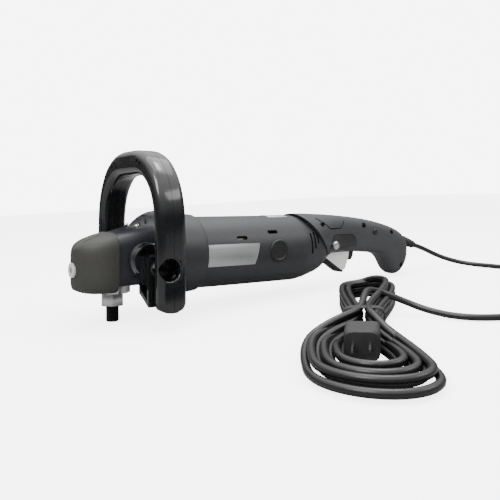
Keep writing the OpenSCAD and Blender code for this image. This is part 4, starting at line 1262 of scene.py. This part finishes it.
# %% Light and floor
world = bpy.data.worlds.new("white_room")
bpy.context.scene.world = world
world.use_nodes = True
sky = world.node_tree
sky.nodes.clear()
up = add(sky, "ShaderNodeSeparateXYZ", {"Vector": add(sky,
    "ShaderNodeTexCoord").outputs["Generated"]}).outputs["Z"]
HORIZON, ZENITH, BACKDROP = 0.10, 2.3, 7.0
climb = add(sky, "ShaderNodeMapRange", {"Value": up}, From_Min=0.05, From_Max=0.9, To_Min=HORIZON,
            To_Max=ZENITH,
            interpolation_type="SMOOTHSTEP").outputs["Result"]
seen = add(sky, "ShaderNodeLightPath").outputs["Is Camera Ray"]
strength = add(sky, "ShaderNodeMix", {"Factor": seen, "A": climb}, data_type="FLOAT", B=BACKDROP)
room = add(sky, "ShaderNodeBackground", {"Strength": strength.outputs[0]}, Color=(1, 1, 1, 1))
add(sky, "ShaderNodeOutputWorld", {"Surface": room.outputs[0]})


def soft_box(name, place, target, width, height, power):
    """An area lamp that looks at a point."""
    lamp = bpy.data.lights.new(name, "AREA")
    lamp.shape, lamp.size, lamp.size_y, lamp.energy = "RECTANGLE", width, height, power
    made = bpy.data.objects.new(name, lamp)
    look = (Vector(target) - Vector(place)).to_track_quat("-Z", "Y").to_matrix().to_4x4()
    made.matrix_world = Matrix.Translation(place) @ look
    bpy.context.scene.collection.objects.link(made)
    return made


soft_box("key", (-0.9, -0.35, 1.0), (0.05, 0, 0.08), 0.5, 0.5, 8)
soft_box("rim", (0.9, -0.9, 0.8), (0.25, 0, 0.05), 0.8, 0.3, 3)
soft_box("bend", (0.38, -0.05, 1.15), (0.03, -0.06, 0.17), 0.35, 0.25, 3)
soft_box("top", (0.2, 0.1, 1.4), (0.2, -0.1, 0), 1.6, 1.0, 12)

floor_mesh = bpy.data.meshes.new("floor")
floor_mesh.from_pydata([(-4, -4, -0.0005), (4, -4, -0.0005), (4, 4, -0.0005), (-4, 4, -0.0005)], [],
                       [(0, 1, 2, 3)])
floor = bpy.data.objects.new("floor", floor_mesh)
bpy.context.scene.collection.objects.link(floor)
floor_white = bpy.data.materials.new("pale_floor")
floor_white.use_nodes = True
ground = floor_white.node_tree
ground.nodes.clear()
ray = add(ground, "ShaderNodeLightPath")
shade = add(ground, "ShaderNodeMix", {"Factor": ray.outputs["Is Glossy Ray"]}, data_type="RGBA")
shade.inputs[6].default_value, shade.inputs[7].default_value = linear("#f2f2f2"), linear("#8a8a8a")
matt = add(ground, "ShaderNodeBsdfDiffuse", {"Color": shade.outputs[2]})
glow = add(ground, "ShaderNodeEmission", {"Strength": math_node(
    ground, "MULTIPLY", ray.outputs["Is Camera Ray"], 4.0)}, Color=(1, 1, 1, 1))
both = add(ground, "ShaderNodeAddShader", {0: matt.outputs[0], 1: glow.outputs[0]})
add(ground, "ShaderNodeOutputMaterial", {"Surface": both.outputs[0]})
floor_mesh.materials.append(floor_white)
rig.stage(floor)

# %% Size and finish
with open("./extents.json", "w") as size_file:
    json.dump({"cad": [list(corner) for corner in cad_box],
               "visual": [list(corner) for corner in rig.bounds()]}, size_file)
print(open("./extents.json").read())
